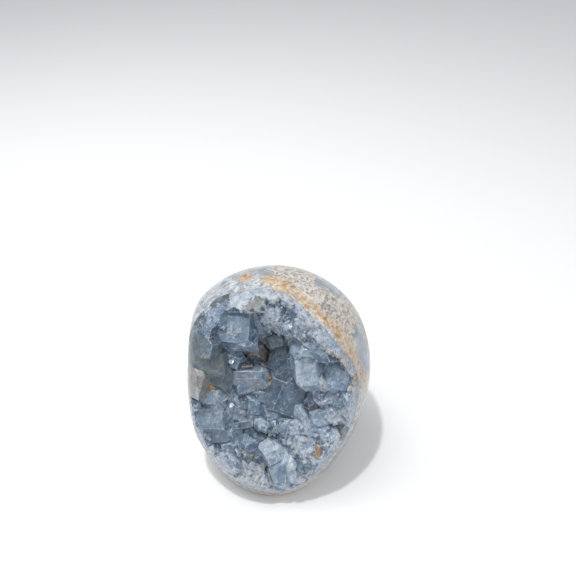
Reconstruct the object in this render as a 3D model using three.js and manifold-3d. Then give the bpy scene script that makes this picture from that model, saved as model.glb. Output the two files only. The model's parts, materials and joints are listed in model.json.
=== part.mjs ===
// A celestite geode, worn and polished to an egg, that leans back on a ground foot.
// Its open side is lined with pale blue crystals, and where they reach the egg's
// surface they are polished flush with it.
// Millimetres, +Z up, -Y is the front. The origin is the middle of the ground foot.

import * as THREE from "three";
import { ConvexGeometry } from "three/addons/geometries/ConvexGeometry.js";
import { mergeVertices } from "three/addons/utils/BufferGeometryUtils.js";
import Module from "manifold-3d";

const wasm = await Module();
wasm.setup();

// The egg, in the axes of its open face: x to the right, y up the face, z out of it
const HALF_WIDTH = 36.7;
const HALF_LENGTH = 45.8;
const HALF_DEPTH = 34;
const TAPER = 0.17; // how much wider the top end is than the middle
const LEFT_FLAT_START = 27.6; // the left flank is rubbed flatter from here
const LEFT_FLAT_SPAN = 5;

// How the egg stands
const LEAN = THREE.MathUtils.degToRad(28); // how far the open face looks up
const CENTRE_HEIGHT = 32.5;
const FOOT_OFFSET = 7.88; // the egg's middle lies this far behind the middle of the foot

// The hollow and its crust
const FLOOR_HEIGHT = 3; // the hollow's deepest point, above the egg's middle plane
const FLOOR_STEEPNESS = 2.5;
const BED_HEIGHT = 9; // the crust's own floor, under the crystals
const BED_STEEPNESS = 1.9;
const BED_OVERRUN = 1.5; // the bed is made this much wider than the mouth, then trimmed
const EDGE_SINK = 0.4; // the hollow's edge starts this far under the egg's surface
const SEAM = 0.3; // clearance between the stone and the crust at the mouth
const FLOOR_SEAM = 0.48; // and along the face's axis, where the hollow's floor slopes
const ROOT_DEPTH = 3.5; // how far a crystal reaches down into the bed
const TIP_SLOPE = 0.45; // a tip's height for each unit that it narrows by
const LARGE_CHAMFER = 0.55; // the share of a large crystal's side left by its cut edges

// The small crystals between the large ones, each value drawn from its range
const FILL = {
  seed: 41,
  spacing: 6.8,
  scatter: 1.6,
  rise: [1, 3],
  width: [5.5, 8.5],
  breadth: [5, 7.5],
  turn: [-45, 45],
  lean: [-20, 20],
  tip: [0.3, 0.8],
  mouthShare: 0.99, // none stands nearer to the mouth's edge than this
  pitMargin: 1,
};

// How finely the curved surfaces are faceted
const EGG_DETAIL = 9;
const HOLLOW_FACETS = { spokes: 44, rings: 18 };
const BED_FACETS = { spokes: 28, rings: 14 };

// The mouth of the hollow, as points on the face, counterclockwise from the right
const MOUTH = [
  [31.6, 3], [30.8, 10.5], [27.6, 16.6], [23, 21.8], [18.9, 27.2], [14, 32], [8.6, 36.4],
  [0.8, 40], [-10, 39.4], [-20.5, 35.4], [-28.2, 27], [-30.8, 15], [-31.1, 4],
  [-30.4, -8], [-27, -19.6], [-20, -29.4], [-9.5, -36.6], [2.6, -38.6], [12.6, -33.4],
  [19.8, -25.6], [25.8, -18], [29.8, -9],
];

// Holes between the crystals, each with its middle and radius
const PITS = [
  { at: [-5.3, 16.1], radius: 5 },
  { at: [15, -0.4], radius: 3 },
  { at: [-10.6, -6.4], radius: 2 },
  { at: [-10.8, -17], radius: 2.2 },
];

// The large crystals. at is the tip's place on the face, rise its height over the bed,
// size its width and breadth, turn its angle on the face, lean the tilt of its axis to
// the right and up the face, in degrees, and tip the share of its size that is left at
// the top. A high crystal near the mouth is cut by the egg's surface.
const CRYSTALS = [
  { at: [-14.4, 25.5], rise: 7.5, size: [10.5, 10], turn: -8, lean: [-4, -8], tip: [0.8, 0.72] },
  { at: [-24.5, 26.5], rise: 6.5, size: [9, 11], turn: -5, lean: [-12, 6], tip: [0.8, 0.8] },
  { at: [-18.2, 35.3], rise: 5, size: [12, 5], turn: 28, lean: [-6, 12], tip: [0.85, 0.5] },
  { at: [-9.4, 35.5], rise: 5, size: [9, 6], turn: 8, lean: [0, 12], tip: [0.7, 0.4] },
  { at: [-4.2, 32.6], rise: 2, size: [6, 6], turn: 30, lean: [8, 0], tip: [0.7, 0.6] },
  { at: [-1.4, 28.6], rise: 5, size: [6, 5], turn: 20, lean: [6, -8], tip: [0.5, 0.7] },
  { at: [-14.6, 14], rise: 3.5, size: [9, 7], turn: -18, lean: [8, -10], tip: [0.8, 0.5] },
  { at: [4.9, 12.6], rise: 5.5, size: [8.5, 12], turn: -38, lean: [-4, 10], tip: [0.3, 0.8] },
  { at: [-9.3, 7], rise: 4.5, size: [15, 7.5], turn: 4, lean: [-4, 12], tip: [0.85, 0.5] },
  { at: [1.6, 8], rise: 3, size: [5.5, 6.5], turn: 12, lean: [10, 4], tip: [0.5, 0.5] },
  { at: [8, -0.6], rise: 4.2, size: [16, 12.5], turn: -28, lean: [5, 8], tip: [0.92, 0.85] },
  { at: [11.4, 11.6], rise: 6, size: [7, 6.5], turn: 14, lean: [4, 6], tip: [0.7, 0.6] },
  { at: [14.8, 15.2], rise: 6, size: [4.5, 6], turn: -12, lean: [-6, 10], tip: [0.5, 0.6] },
  { at: [19.4, 12.8], rise: 5, size: [7.5, 8], turn: 42, lean: [-14, -6], tip: [0.75, 0.6] },
  { at: [24.4, 6.2], rise: 4, size: [7.5, 7], turn: -16, lean: [-8, 8], tip: [0.8, 0.6] },
  { at: [17.8, 6.4], rise: 7, size: [4, 8], turn: 18, lean: [-10, 8], tip: [0.6, 0.7] },
  { at: [21.2, 0.2], rise: 6, size: [7, 5.5], turn: 10, lean: [-4, 6], tip: [0.6, 0.5] },
  { at: [27, 0.2], rise: 4, size: [6, 6], turn: -20, lean: [-10, 4], tip: [0.6, 0.6] },
  { at: [9.9, -6.4], rise: 6.5, size: [5.5, 7.5], turn: 6, lean: [2, -6], tip: [0.25, 0.35] },
  { at: [17.1, -8], rise: 6, size: [9, 8.5], turn: 14, lean: [-6, 8], tip: [0.8, 0.65] },
  { at: [24.7, -8.3], rise: 4.5, size: [6.5, 7], turn: -24, lean: [-8, 4], tip: [0.6, 0.6] },
  { at: [11.1, -14.4], rise: 5.5, size: [9.5, 6.5], turn: 8, lean: [4, 10], tip: [0.75, 0.5] },
  { at: [19.1, -15.8], rise: 5, size: [7.5, 6.5], turn: -10, lean: [-6, 6], tip: [0.7, 0.6] },
  { at: [5.6, -17.8], rise: 4.5, size: [7.5, 5.5], turn: -6, lean: [-4, 8], tip: [0.6, 0.5] },
  { at: [13.7, -21.2], rise: 4, size: [7, 5.5], turn: 26, lean: [6, 8], tip: [0.7, 0.5] },
  { at: [1, -23.7], rise: 7.5, size: [9, 8.5], turn: 24, lean: [-4, 4], tip: [0.7, 0.65] },
  { at: [10.5, -25], rise: 4.5, size: [8, 6], turn: -32, lean: [8, -6], tip: [0.8, 0.4] },
  { at: [3.9, -30.4], rise: 5.5, size: [4.5, 9], turn: -2, lean: [0, -6], tip: [0.7, 0.7] },
  { at: [8.2, -30.6], rise: 6, size: [4, 8], turn: 6, lean: [6, -4], tip: [0.5, 0.7] },
  { at: [14, -28.6], rise: 4, size: [6.5, 6.5], turn: 34, lean: [-4, 4], tip: [0.7, 0.6] },
  { at: [-6.8, -22.7], rise: 2.5, size: [6, 5], turn: -20, lean: [4, 8], tip: [0.6, 0.6] },
  { at: [-11.6, -23.8], rise: 6, size: [2, 7], turn: 24, lean: [10, 0], tip: [0.5, 0.8] },
  { at: [-15.9, -26.5], rise: 5, size: [8.5, 7], turn: 32, lean: [-6, -6], tip: [0.75, 0.7] },
  { at: [-18.1, -16.3], rise: 4.5, size: [9.5, 7.5], turn: -8, lean: [-4, 10], tip: [0.85, 0.7] },
  { at: [-19, -8.3], rise: 4, size: [7.5, 9.5], turn: 6, lean: [4, 6], tip: [0.8, 0.75] },
  { at: [-26.2, -10.6], rise: 7, size: [7.5, 10], turn: 10, lean: [-10, -4], tip: [0.8, 0.8] },
  { at: [-23.9, -1.3], rise: 5.5, size: [7, 7.5], turn: -22, lean: [-8, 4], tip: [0.6, 0.6] },
  { at: [-28.6, 3.6], rise: 9, size: [6.5, 10], turn: -14, lean: [-8, 0], tip: [0.9, 0.9] },
  { at: [-27, 14.4], rise: 9, size: [9, 12], turn: 4, lean: [-10, 4], tip: [0.9, 0.9] },
  { at: [-20.7, 9.6], rise: 5.5, size: [7.5, 8.5], turn: -12, lean: [-6, 4], tip: [0.8, 0.7] },
  { at: [-13, -4.8], rise: 3.5, size: [7.5, 8], turn: 22, lean: [4, 6], tip: [0.7, 0.6] },
  { at: [-4.3, -7.5], rise: 4, size: [9, 8], turn: -14, lean: [6, 6], tip: [0.75, 0.6] },
  { at: [-14.1, 0.6], rise: 4, size: [8.5, 6], turn: 10, lean: [-6, 8], tip: [0.8, 0.6] },
  { at: [2.2, -13.3], rise: 4, size: [8, 6.5], turn: 16, lean: [-4, 10], tip: [0.7, 0.5] },
  { at: [-5.8, -14.6], rise: 4, size: [8, 7], turn: -24, lean: [4, 4], tip: [0.7, 0.6] },
  { at: [-3.2, 1], rise: 4.5, size: [6.5, 7], turn: 34, lean: [6, 4], tip: [0.6, 0.6] },
  { at: [-9, 21.4], rise: 3, size: [5.5, 5], turn: 12, lean: [8, 4], tip: [0.6, 0.5] },
  { at: [6, 22.5], rise: 3.5, size: [6.5, 6], turn: 28, lean: [4, 8], tip: [0.6, 0.6] },
  { at: [13.4, 23], rise: 4, size: [6.5, 5.5], turn: -18, lean: [-4, 8], tip: [0.6, 0.5] },
];

// The same draws on every run
function randomFrom(seed) {
  let state = seed;
  return () => {
    state = (state + 0x6d2b79f5) | 0;
    let mixed = Math.imul(state ^ (state >>> 15), 1 | state);
    mixed = (mixed + Math.imul(mixed ^ (mixed >>> 7), 61 | mixed)) ^ mixed;
    return ((mixed ^ (mixed >>> 14)) >>> 0) / 4294967296;
  };
}

// Face axes to the part's own frame
const faceToPart = new THREE.Matrix4().makeBasis(
  new THREE.Vector3(1, 0, 0),
  new THREE.Vector3(0, Math.sin(LEAN), Math.cos(LEAN)),
  new THREE.Vector3(0, -Math.cos(LEAN), Math.sin(LEAN)),
);
faceToPart.setPosition(0, FOOT_OFFSET, CENTRE_HEIGHT);

const mouthCurve = new THREE.CatmullRomCurve3(
  MOUTH.map(([x, y]) => new THREE.Vector3(x, y, 0)),
  true,
);
const mouthPoints = mouthCurve.getSpacedPoints(360);

// How far the mouth reaches from the middle of the face in a given direction
function mouthRadius(angle) {
  const [cos, sin] = [Math.cos(angle), Math.sin(angle)];
  let closest = mouthPoints[0];
  let best = -Infinity;
  for (const point of mouthPoints) {
    const along = (point.x * cos + point.y * sin) / point.length();
    if (along > best) {
      best = along;
      closest = point;
    }
  }
  return closest.length();
}

// The left flank's flattening, and the x before it
function flattenLeft(x) {
  const over = -x - LEFT_FLAT_START;
  if (over <= 0) return x;
  return -(LEFT_FLAT_START + LEFT_FLAT_SPAN * (1 - Math.exp(-over / LEFT_FLAT_SPAN)));
}

function unflattenLeft(x) {
  const share = Math.min((-x - LEFT_FLAT_START) / LEFT_FLAT_SPAN, 0.99);
  if (share <= 0) return x;
  return -(LEFT_FLAT_START - LEFT_FLAT_SPAN * Math.log(1 - share));
}

// Height of the egg's front surface over its middle plane
function eggHeight(x, y) {
  const widening = 1 + (TAPER * y) / HALF_LENGTH;
  const across = unflattenLeft(x) / (HALF_WIDTH * widening);
  const along = y / HALF_LENGTH;
  return HALF_DEPTH * widening * Math.sqrt(Math.max(0, 1 - across ** 2 - along ** 2));
}

// A surface that is flat in the middle of the hollow and climbs to the mouth's edge
function dish(middle, steepness, edgeSink) {
  return (angle, distance) => {
    const radius = mouthRadius(angle);
    const edge = eggHeight(radius * Math.cos(angle), radius * Math.sin(angle)) - edgeSink;
    return middle + (edge - middle) * (distance / radius) ** steepness;
  };
}

const hollowFloor = dish(FLOOR_HEIGHT, FLOOR_STEEPNESS, EDGE_SINK);
const bedTop = dish(BED_HEIGHT, BED_STEEPNESS, 0);
const middlePlane = () => 0;

function bedHeightAt(x, y) {
  return bedTop(Math.atan2(y, x), Math.hypot(x, y));
}

// Closed three.js geometry to a solid, and back
function toSolid(geometry) {
  geometry.deleteAttribute("normal");
  geometry.deleteAttribute("uv");
  const merged = mergeVertices(geometry, 1e-4);
  return new wasm.Manifold(new wasm.Mesh({
    numProp: 3,
    vertProperties: merged.attributes.position.array,
    triVerts: new Uint32Array(merged.index.array),
  }));
}

function toGeometry(solid) {
  const mesh = solid.getMesh();
  const geometry = new THREE.BufferGeometry();
  geometry.setAttribute("position", new THREE.BufferAttribute(mesh.vertProperties, 3));
  geometry.setIndex(new THREE.BufferAttribute(mesh.triVerts, 1));
  geometry.computeVertexNormals();
  return geometry;
}

// The whole egg, before the foot is ground and the hollow opened
function eggSolid() {
  const geometry = new THREE.IcosahedronGeometry(1, EGG_DETAIL);
  const position = geometry.attributes.position;
  for (let i = 0; i < position.count; i += 1) {
    const y = position.getY(i);
    const widening = 1 + TAPER * y;
    const x = flattenLeft(position.getX(i) * HALF_WIDTH * widening);
    position.setXYZ(i, x, y * HALF_LENGTH, position.getZ(i) * HALF_DEPTH * widening);
  }
  return toSolid(geometry.applyMatrix4(faceToPart));
}

// A lens over the mouth: a ball whose lower half follows one surface, its upper another
function lensGeometry(lower, upper, overrun, { spokes, rings }) {
  const geometry = new THREE.SphereGeometry(1, spokes, rings).rotateX(Math.PI / 2);
  const position = geometry.attributes.position;
  for (let i = 0; i < position.count; i += 1) {
    const [x, y, z] = [position.getX(i), position.getY(i), position.getZ(i)];
    const angle = Math.atan2(y, x);
    const distance = Math.hypot(x, y) * (mouthRadius(angle) + overrun);
    const height = (z > 1e-6 ? upper : lower)(angle, distance);
    position.setXYZ(i, distance * Math.cos(angle), distance * Math.sin(angle), height);
  }
  return geometry.applyMatrix4(faceToPart);
}

// What the hollow takes out: its floor below, and a steep dome clear of the egg above
function hollowSolid(lift, inset) {
  const domeHeight = 60;
  const floor = (angle, distance) => hollowFloor(angle, distance) + lift;
  const dome = (angle, distance) => {
    const radius = mouthRadius(angle) - inset;
    const share = Math.min(1, distance / radius);
    return floor(angle, radius) + domeHeight * Math.sqrt(1 - share ** 2);
  };
  return toSolid(lensGeometry(floor, dome, -inset, HOLLOW_FACETS));
}

// One crystal: a four-sided prism with a narrower, flat-topped tip. The large ones have
// two of their upright edges cut off.
function crystalGeometry({ at, rise, size, turn, lean, tip, chamfer = 1 }) {
  const [halfWidth, halfBreadth] = [size[0] / 2, size[1] / 2];
  const narrowing = Math.min(...size) * (2 - tip[0] - tip[1]);
  const tipHeight = Math.min(rise * 0.7, TIP_SLOPE * narrowing + 0.4);
  const bottom = -(rise + ROOT_DEPTH);
  const points = [];
  for (const [sx, sy] of [[1, 1], [-1, 1], [-1, -1], [1, -1]]) {
    for (const level of [bottom, -tipHeight]) {
      const cut = sx === sy ? chamfer : 1;
      points.push(new THREE.Vector3(sx * halfWidth * cut, sy * halfBreadth, level));
      if (cut < 1) points.push(new THREE.Vector3(sx * halfWidth, sy * halfBreadth * cut, level));
    }
    points.push(new THREE.Vector3(sx * halfWidth * tip[0], sy * halfBreadth * tip[1], 0));
  }
  const [leanX, leanY] = lean.map(THREE.MathUtils.degToRad);
  const axes = new THREE.Matrix4().makeRotationFromEuler(
    new THREE.Euler(-leanY, leanX, THREE.MathUtils.degToRad(turn), "XYZ"),
  );
  axes.setPosition(at[0], at[1], bedHeightAt(at[0], at[1]) + rise);
  return new ConvexGeometry(points).applyMatrix4(axes).applyMatrix4(faceToPart);
}

// Small crystals on a loose grid, wherever no large one and no pit already is
function fillCrystals() {
  const random = randomFrom(FILL.seed);
  const draw = ([low, high]) => low + (high - low) * random();
  const scatter = [-FILL.scatter, FILL.scatter];
  const crystals = [];
  for (let row = -HALF_LENGTH; row < HALF_LENGTH; row += FILL.spacing) {
    for (let column = -HALF_WIDTH; column < HALF_WIDTH; column += FILL.spacing) {
      const [x, y] = [column + draw(scatter), row + draw(scatter)];
      const crystal = {
        at: [x, y],
        rise: draw(FILL.rise),
        size: [draw(FILL.width), draw(FILL.breadth)],
        turn: draw(FILL.turn),
        lean: [draw(FILL.lean), draw(FILL.lean)],
        tip: [draw(FILL.tip), draw(FILL.tip)],
      };
      const inMouth = Math.hypot(x, y) < FILL.mouthShare * mouthRadius(Math.atan2(y, x));
      const onLarge = CRYSTALS.some(({ at, size }) =>
        Math.hypot(at[0] - x, at[1] - y) < Math.max(...size) / 2);
      const inPit = PITS.some(({ at, radius }) =>
        Math.hypot(at[0] - x, at[1] - y) < radius + FILL.pitMargin);
      if (inMouth && !onLarge && !inPit) crystals.push(crystal);
    }
  }
  return crystals;
}

// Everything below the ground
function footCut() {
  const size = 200;
  return toSolid(new THREE.BoxGeometry(size, size, size).translate(0, 0, -size / 2));
}

function stoneSolid() {
  return eggSolid().subtract(footCut()).subtract(hollowSolid(0, 0));
}

// A pit is cut from the bed alone, before the crystals stand round it
function pitSolid({ at, radius }) {
  const ball = new THREE.IcosahedronGeometry(radius, 0);
  ball.translate(at[0], at[1], bedHeightAt(at[0], at[1]));
  return toSolid(ball.applyMatrix4(faceToPart));
}

// The bed and all its crystals as one solid, trimmed to the hollow and to the egg
function crustSolid() {
  let crust = toSolid(lensGeometry(middlePlane, bedTop, BED_OVERRUN, BED_FACETS));
  for (const pit of PITS) crust = crust.subtract(pitSolid(pit));
  for (const crystal of CRYSTALS) {
    crust = crust.add(toSolid(crystalGeometry({ ...crystal, chamfer: LARGE_CHAMFER })));
  }
  for (const crystal of fillCrystals()) crust = crust.add(toSolid(crystalGeometry(crystal)));
  const pieces = crust
    .intersect(hollowSolid(FLOOR_SEAM, SEAM))
    .intersect(eggSolid())
    .decompose();
  return pieces.reduce((most, piece) => (piece.volume() > most.volume() ? piece : most));
}

function meshOf(name, solid, color, roughness) {
  const material = new THREE.MeshStandardMaterial({ color, roughness, metalness: 0 });
  const mesh = new THREE.Mesh(toGeometry(solid), material);
  mesh.name = name;
  return mesh;
}

const geode = new THREE.Group();
geode.add(meshOf("geode_stone", stoneSolid(), 0xb9b2a6, 0.35));
geode.add(meshOf("crystal_lining", crustSolid(), 0x8498ad, 0.15));

export default geode;
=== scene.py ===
# A polished celestite geode: an egg of limy stone that leans back on its ground foot,
# with one side open on pale blue crystals. It is modelled in millimetres on the axes of
# its open face (x to the right, y up the face, z out of it), then set down in metres.

import json
import math
import random

import bmesh
import bpy
from mathutils import Matrix, Vector, noise
from mathutils.bvhtree import BVHTree

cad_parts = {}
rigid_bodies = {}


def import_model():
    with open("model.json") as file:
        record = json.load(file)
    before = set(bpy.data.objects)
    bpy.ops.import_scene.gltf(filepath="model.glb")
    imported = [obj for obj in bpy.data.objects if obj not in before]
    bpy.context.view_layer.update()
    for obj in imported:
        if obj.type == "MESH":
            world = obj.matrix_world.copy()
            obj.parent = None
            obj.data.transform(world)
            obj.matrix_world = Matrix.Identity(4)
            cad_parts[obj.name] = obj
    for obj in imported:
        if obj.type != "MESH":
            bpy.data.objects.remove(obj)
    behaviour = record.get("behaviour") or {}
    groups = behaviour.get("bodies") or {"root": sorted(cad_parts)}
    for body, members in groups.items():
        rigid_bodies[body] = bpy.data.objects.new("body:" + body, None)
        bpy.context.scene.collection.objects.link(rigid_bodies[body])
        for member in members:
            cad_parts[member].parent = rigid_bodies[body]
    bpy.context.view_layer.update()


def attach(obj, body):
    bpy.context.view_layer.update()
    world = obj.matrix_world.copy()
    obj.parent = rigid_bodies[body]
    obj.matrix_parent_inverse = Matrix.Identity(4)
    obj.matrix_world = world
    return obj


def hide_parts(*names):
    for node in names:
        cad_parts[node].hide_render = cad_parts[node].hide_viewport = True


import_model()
scene = bpy.context.scene

perMetre = 1000  # millimetres in a metre
stretch = 17.3  # lumps of noise from one seed to the next


# Camera at the photograph's viewing angle
cameraSetup = {
    "position": (0.0112, -0.1555, 0.2060),  # metres
    "angles": (52.2, 0, 2),  # degrees
    "lens": 37.5,
    "sensor": 36,
}


def makeCamera():
    cameraData = bpy.data.cameras.new("camera")
    cameraData.lens = cameraSetup["lens"]
    cameraData.sensor_width = cameraSetup["sensor"]
    camera = bpy.data.objects.new("camera", cameraData)
    camera.location = cameraSetup["position"]
    camera.rotation_euler = [math.radians(a) for a in cameraSetup["angles"]]
    scene.collection.objects.link(camera)
    scene.camera = camera


makeCamera()
print("camera set")


# Small helpers
def linear(hexColour):
    channels = [int(hexColour[i:i + 2], 16) / 255 for i in (1, 3, 5)]
    return [c / 12.92 if c <= 0.04045 else ((c + 0.055) / 1.055) ** 2.4 for c in channels] + [1]


def clamp(value, low=0, high=1):
    return max(low, min(high, value))


def smooth(low, high, value):
    share = clamp((value - low) / (high - low))
    return share * share * (3 - 2 * share)


def mix(first, second, share):
    return first + (second - first) * share


# Noise between -1 and 1 whose lumps are about size millimetres wide. Each seed reads
# another stretch of it.
def wobble(x, y, z, size, seed=0):
    return noise.noise(Vector((x / size + stretch * seed, y / size, z / size)))


def addNode(tree, kind, settings=None, links=None, stops=()):
    node = tree.nodes.new("ShaderNode" + kind)
    for name, value in (settings or {}).items():
        if isinstance(name, int) or name in node.inputs:
            node.inputs[name].default_value = value
        else:
            setattr(node, name, value)
    for name, socket in (links or {}).items():
        tree.links.new(socket, node.inputs[name])
    for index, (place, colour) in enumerate(stops):
        elements = node.color_ramp.elements
        element = elements[index] if index < 2 else elements.new(place)
        element.position = place
        element.color = linear(colour) if isinstance(colour, str) else (colour,) * 3 + (1,)
    return node


def newMaterial(name):
    material = bpy.data.materials.new(name)
    material.use_nodes = True
    material.node_tree.nodes.clear()
    return material, material.node_tree


# The egg, its lean and its foot
eggShape = {
    "halfWidth": 36.7,
    "halfLength": 45.8,
    "halfDepth": 34,
    "taper": 0.17,  # how much wider the top end is than the middle
    "flatStart": 27.6,  # the left flank is rubbed flatter from here
    "flatSpan": 5,
    "flatLimit": 0.99,  # the share of that span within which a point can be traced back
    "lean": 28,  # degrees that the open face looks up
    "centre": (0, 7.88, 32.5),  # the egg's middle, from the middle of the foot
    "waveDepth": 0.22,  # hand polishing leaves it this uneven
    "waveSize": 16,
    "detail": 7,
    "crispAngle": 35,  # degrees, so that only the foot's and the mouth's edges stay crisp
}

toUpright = Matrix.Translation(eggShape["centre"]) @ Matrix.Rotation(
    math.radians(90 - eggShape["lean"]), 4, "X")
toScene = Matrix.Scale(1 / perMetre, 4) @ toUpright


def flattenLeft(x):
    over = -x - eggShape["flatStart"]
    if over <= 0:
        return x
    span = eggShape["flatSpan"]
    return -(eggShape["flatStart"] + span * (1 - math.exp(-over / span)))


def unflattenLeft(x):
    share = min((-x - eggShape["flatStart"]) / eggShape["flatSpan"], eggShape["flatLimit"])
    if share <= 0:
        return x
    return -(eggShape["flatStart"] - eggShape["flatSpan"] * math.log(1 - share))


def eggHeight(x, y):
    widening = 1 + eggShape["taper"] * y / eggShape["halfLength"]
    across = unflattenLeft(x) / (eggShape["halfWidth"] * widening)
    along = y / eggShape["halfLength"]
    return eggShape["halfDepth"] * widening * math.sqrt(max(0, 1 - across ** 2 - along ** 2))


# From a point on the unit ball to one on the egg
def eggPoint(ball, sink=0):
    widening = 1 + eggShape["taper"] * ball.y
    point = Vector((
        flattenLeft(ball.x * eggShape["halfWidth"] * widening),
        ball.y * eggShape["halfLength"],
        ball.z * eggShape["halfDepth"] * widening,
    ))
    wave = eggShape["waveDepth"] * wobble(*point, eggShape["waveSize"], seed=1)
    return point + ball * (wave - sink)


def eggBall(sink=0):
    bm = bmesh.new()
    bmesh.ops.create_icosphere(bm, subdivisions=eggShape["detail"], radius=1)
    for vert in bm.verts:
        vert.co = eggPoint(vert.co, sink)
    return bm


# The hollow's mouth, its floor and the bed that the crystals stand on
hollowShape = {
    "mouth": [
        (31.6, 3), (30.8, 10.5), (27.6, 16.6), (23, 21.8), (18.9, 27.2), (14, 32),
        (8.6, 36.4), (0.8, 40), (-10, 39.4), (-20.5, 35.4), (-28.2, 27), (-30.8, 15),
        (-31.1, 4), (-30.4, -8), (-27, -19.6), (-20, -29.4), (-9.5, -36.6), (2.6, -38.6),
        (12.6, -33.4), (19.8, -25.6), (25.8, -18), (29.8, -9),
    ],
    "raggedness": 0.7,  # how far the mouth's edge wanders
    "raggedLumps": (7, 2.5),  # in broad bends and finer ones of this length
    "fineShare": 0.5,
    "meanRadius": 30,
    "floorHeight": 3,
    "floorSteepness": 2.5,
    "floorDrop": 0.4,  # keeps the floor under the egg's surface at the mouth
    "bedHeight": 9,
    "bedSteepness": 1.9,
    "bedGrain": 0.35,
    "bedGrainSize": 1.6,
    "bedFill": 0.8,  # broken crystal between the whole ones lifts the bed by this
    "bedFillEnd": 0.8,  # up to this share of the way to the mouth
    "bedOverlap": 1.5,  # and the bed runs on past the mouth, to be cut back later
    "flushRise": -0.3,  # where the crust runs out, its bed ends this far over the egg
    "flushRun": 3,  # and climbs there over this distance
    "flushRaggedness": 0.9,
    "flushLumps": 3.5,
    "seam": 0.12,  # the crust reaches this far into the stone
    "polishDepth": 0.03,  # and is polished this far below the stone's surface
    "domeHeight": 60,
    "spokes": 200,
    "rings": 96,
}

# How wide the crust is polished flush beside the mouth, by the angle on the face
flushRim = [
    (-180, 1.5), (-165, 1.6), (-150, 2.4), (-120, 2.4), (-90, 1), (-45, 1.2), (-25, 1.6),
    (0, 1.6), (24, 1.2), (38, 0.2), (82, 0.2), (94, 1.5), (108, 4), (125, 5), (145, 3),
    (165, 1.5), (180, 1.5),
]


# The mouth as a smooth closed curve, kept as its radius at each whole degree
def traceMouth():
    points = [Vector(p) for p in hollowShape["mouth"]]
    steps = 24
    traced = []
    for i, start in enumerate(points):
        before, end, after = (points[(i + k) % len(points)] for k in (-1, 1, 2))
        for step in range(steps):
            t = step / steps
            bend = (2 * before - 5 * start + 4 * end - after) * t ** 2
            twist = (3 * start - before - 3 * end + after) * t ** 3
            traced.append((2 * start + (end - before) * t + bend + twist) / 2)
    radii = [0.0] * 360
    for degree in range(360):
        toward = Vector((math.cos(math.radians(degree)), math.sin(math.radians(degree))))
        radii[degree] = max(traced, key=lambda p: p.normalized().dot(toward)).length
    return radii


mouthRadii = traceMouth()


def plainMouthRadius(angle):
    degree = math.degrees(angle) % 360
    low = int(degree)
    return mix(mouthRadii[low], mouthRadii[(low + 1) % 360], degree - low)


def mouthRadius(angle):
    x, y = (hollowShape["meanRadius"] * turn(angle) for turn in (math.cos, math.sin))
    broad, fine = hollowShape["raggedLumps"]
    ragged = wobble(x, y, 0, broad, seed=2)
    ragged += hollowShape["fineShare"] * wobble(x, y, 0, fine, seed=3)
    return plainMouthRadius(angle) + hollowShape["raggedness"] * ragged


def rimWidth(angle):
    degree = math.degrees(math.atan2(math.sin(angle), math.cos(angle)))
    for (start, width), (end, nextWidth) in zip(flushRim, flushRim[1:]):
        if degree <= end:
            return mix(width, nextWidth, (degree - start) / (end - start))
    return flushRim[-1][1]


def dish(middle, steepness, angle, distance):
    radius = plainMouthRadius(angle)
    edge = eggHeight(radius * math.cos(angle), radius * math.sin(angle))
    return middle + (edge - middle) * (distance / radius) ** steepness


def hollowFloor(angle, distance):
    height = dish(hollowShape["floorHeight"], hollowShape["floorSteepness"], angle, distance)
    return height - hollowShape["floorDrop"]


def bedTop(angle, distance):
    height = dish(hollowShape["bedHeight"], hollowShape["bedSteepness"], angle, distance)
    x, y = distance * math.cos(angle), distance * math.sin(angle)
    wander = hollowShape["flushRaggedness"] * wobble(x, y, 0, hollowShape["flushLumps"], seed=4)
    inner = plainMouthRadius(angle) - rimWidth(angle) * (1 + wander)
    flush = smooth(inner - hollowShape["flushRun"], inner, distance)
    return mix(height, eggHeight(x, y) + hollowShape["flushRise"], flush)


def bedHeightAt(x, y):
    return bedTop(math.atan2(y, x), math.hypot(x, y))


# A ball whose lower half follows one surface and its upper half another
def lens(lower, upper, radiusAt):
    bm = bmesh.new()
    bmesh.ops.create_uvsphere(
        bm, u_segments=hollowShape["spokes"], v_segments=hollowShape["rings"], radius=1)
    for vert in bm.verts:
        angle = math.atan2(vert.co.y, vert.co.x)
        distance = min(1, math.hypot(vert.co.x, vert.co.y)) * radiusAt(angle)
        height = (upper if vert.co.z > 1e-5 else lower)(angle, distance)
        vert.co = (distance * math.cos(angle), distance * math.sin(angle), height)
    return bm


# What opens the hollow: its floor below, and a steep dome clear of the egg above
def hollowLens(reach):
    def radiusAt(angle):
        return mouthRadius(angle) + reach

    def floor(angle, distance):
        return hollowFloor(angle, distance) - reach

    def dome(angle, distance):
        share = min(1, distance / radiusAt(angle))
        return floor(angle, radiusAt(angle)) + hollowShape["domeHeight"] * math.sqrt(1 - share ** 2)

    return lens(floor, dome, radiusAt)


def objectFrom(bm, name, material=None, layers=None):
    for layerName, value in (layers or {}).items():
        layer = bm.faces.layers.float.get(layerName) or bm.faces.layers.float.new(layerName)
        for face in bm.faces:
            face[layer] = value
    mesh = bpy.data.meshes.new(name)
    bm.to_mesh(mesh)
    bm.free()
    if material:
        mesh.materials.append(material)
    return bpy.data.objects.new(name, mesh)


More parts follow.
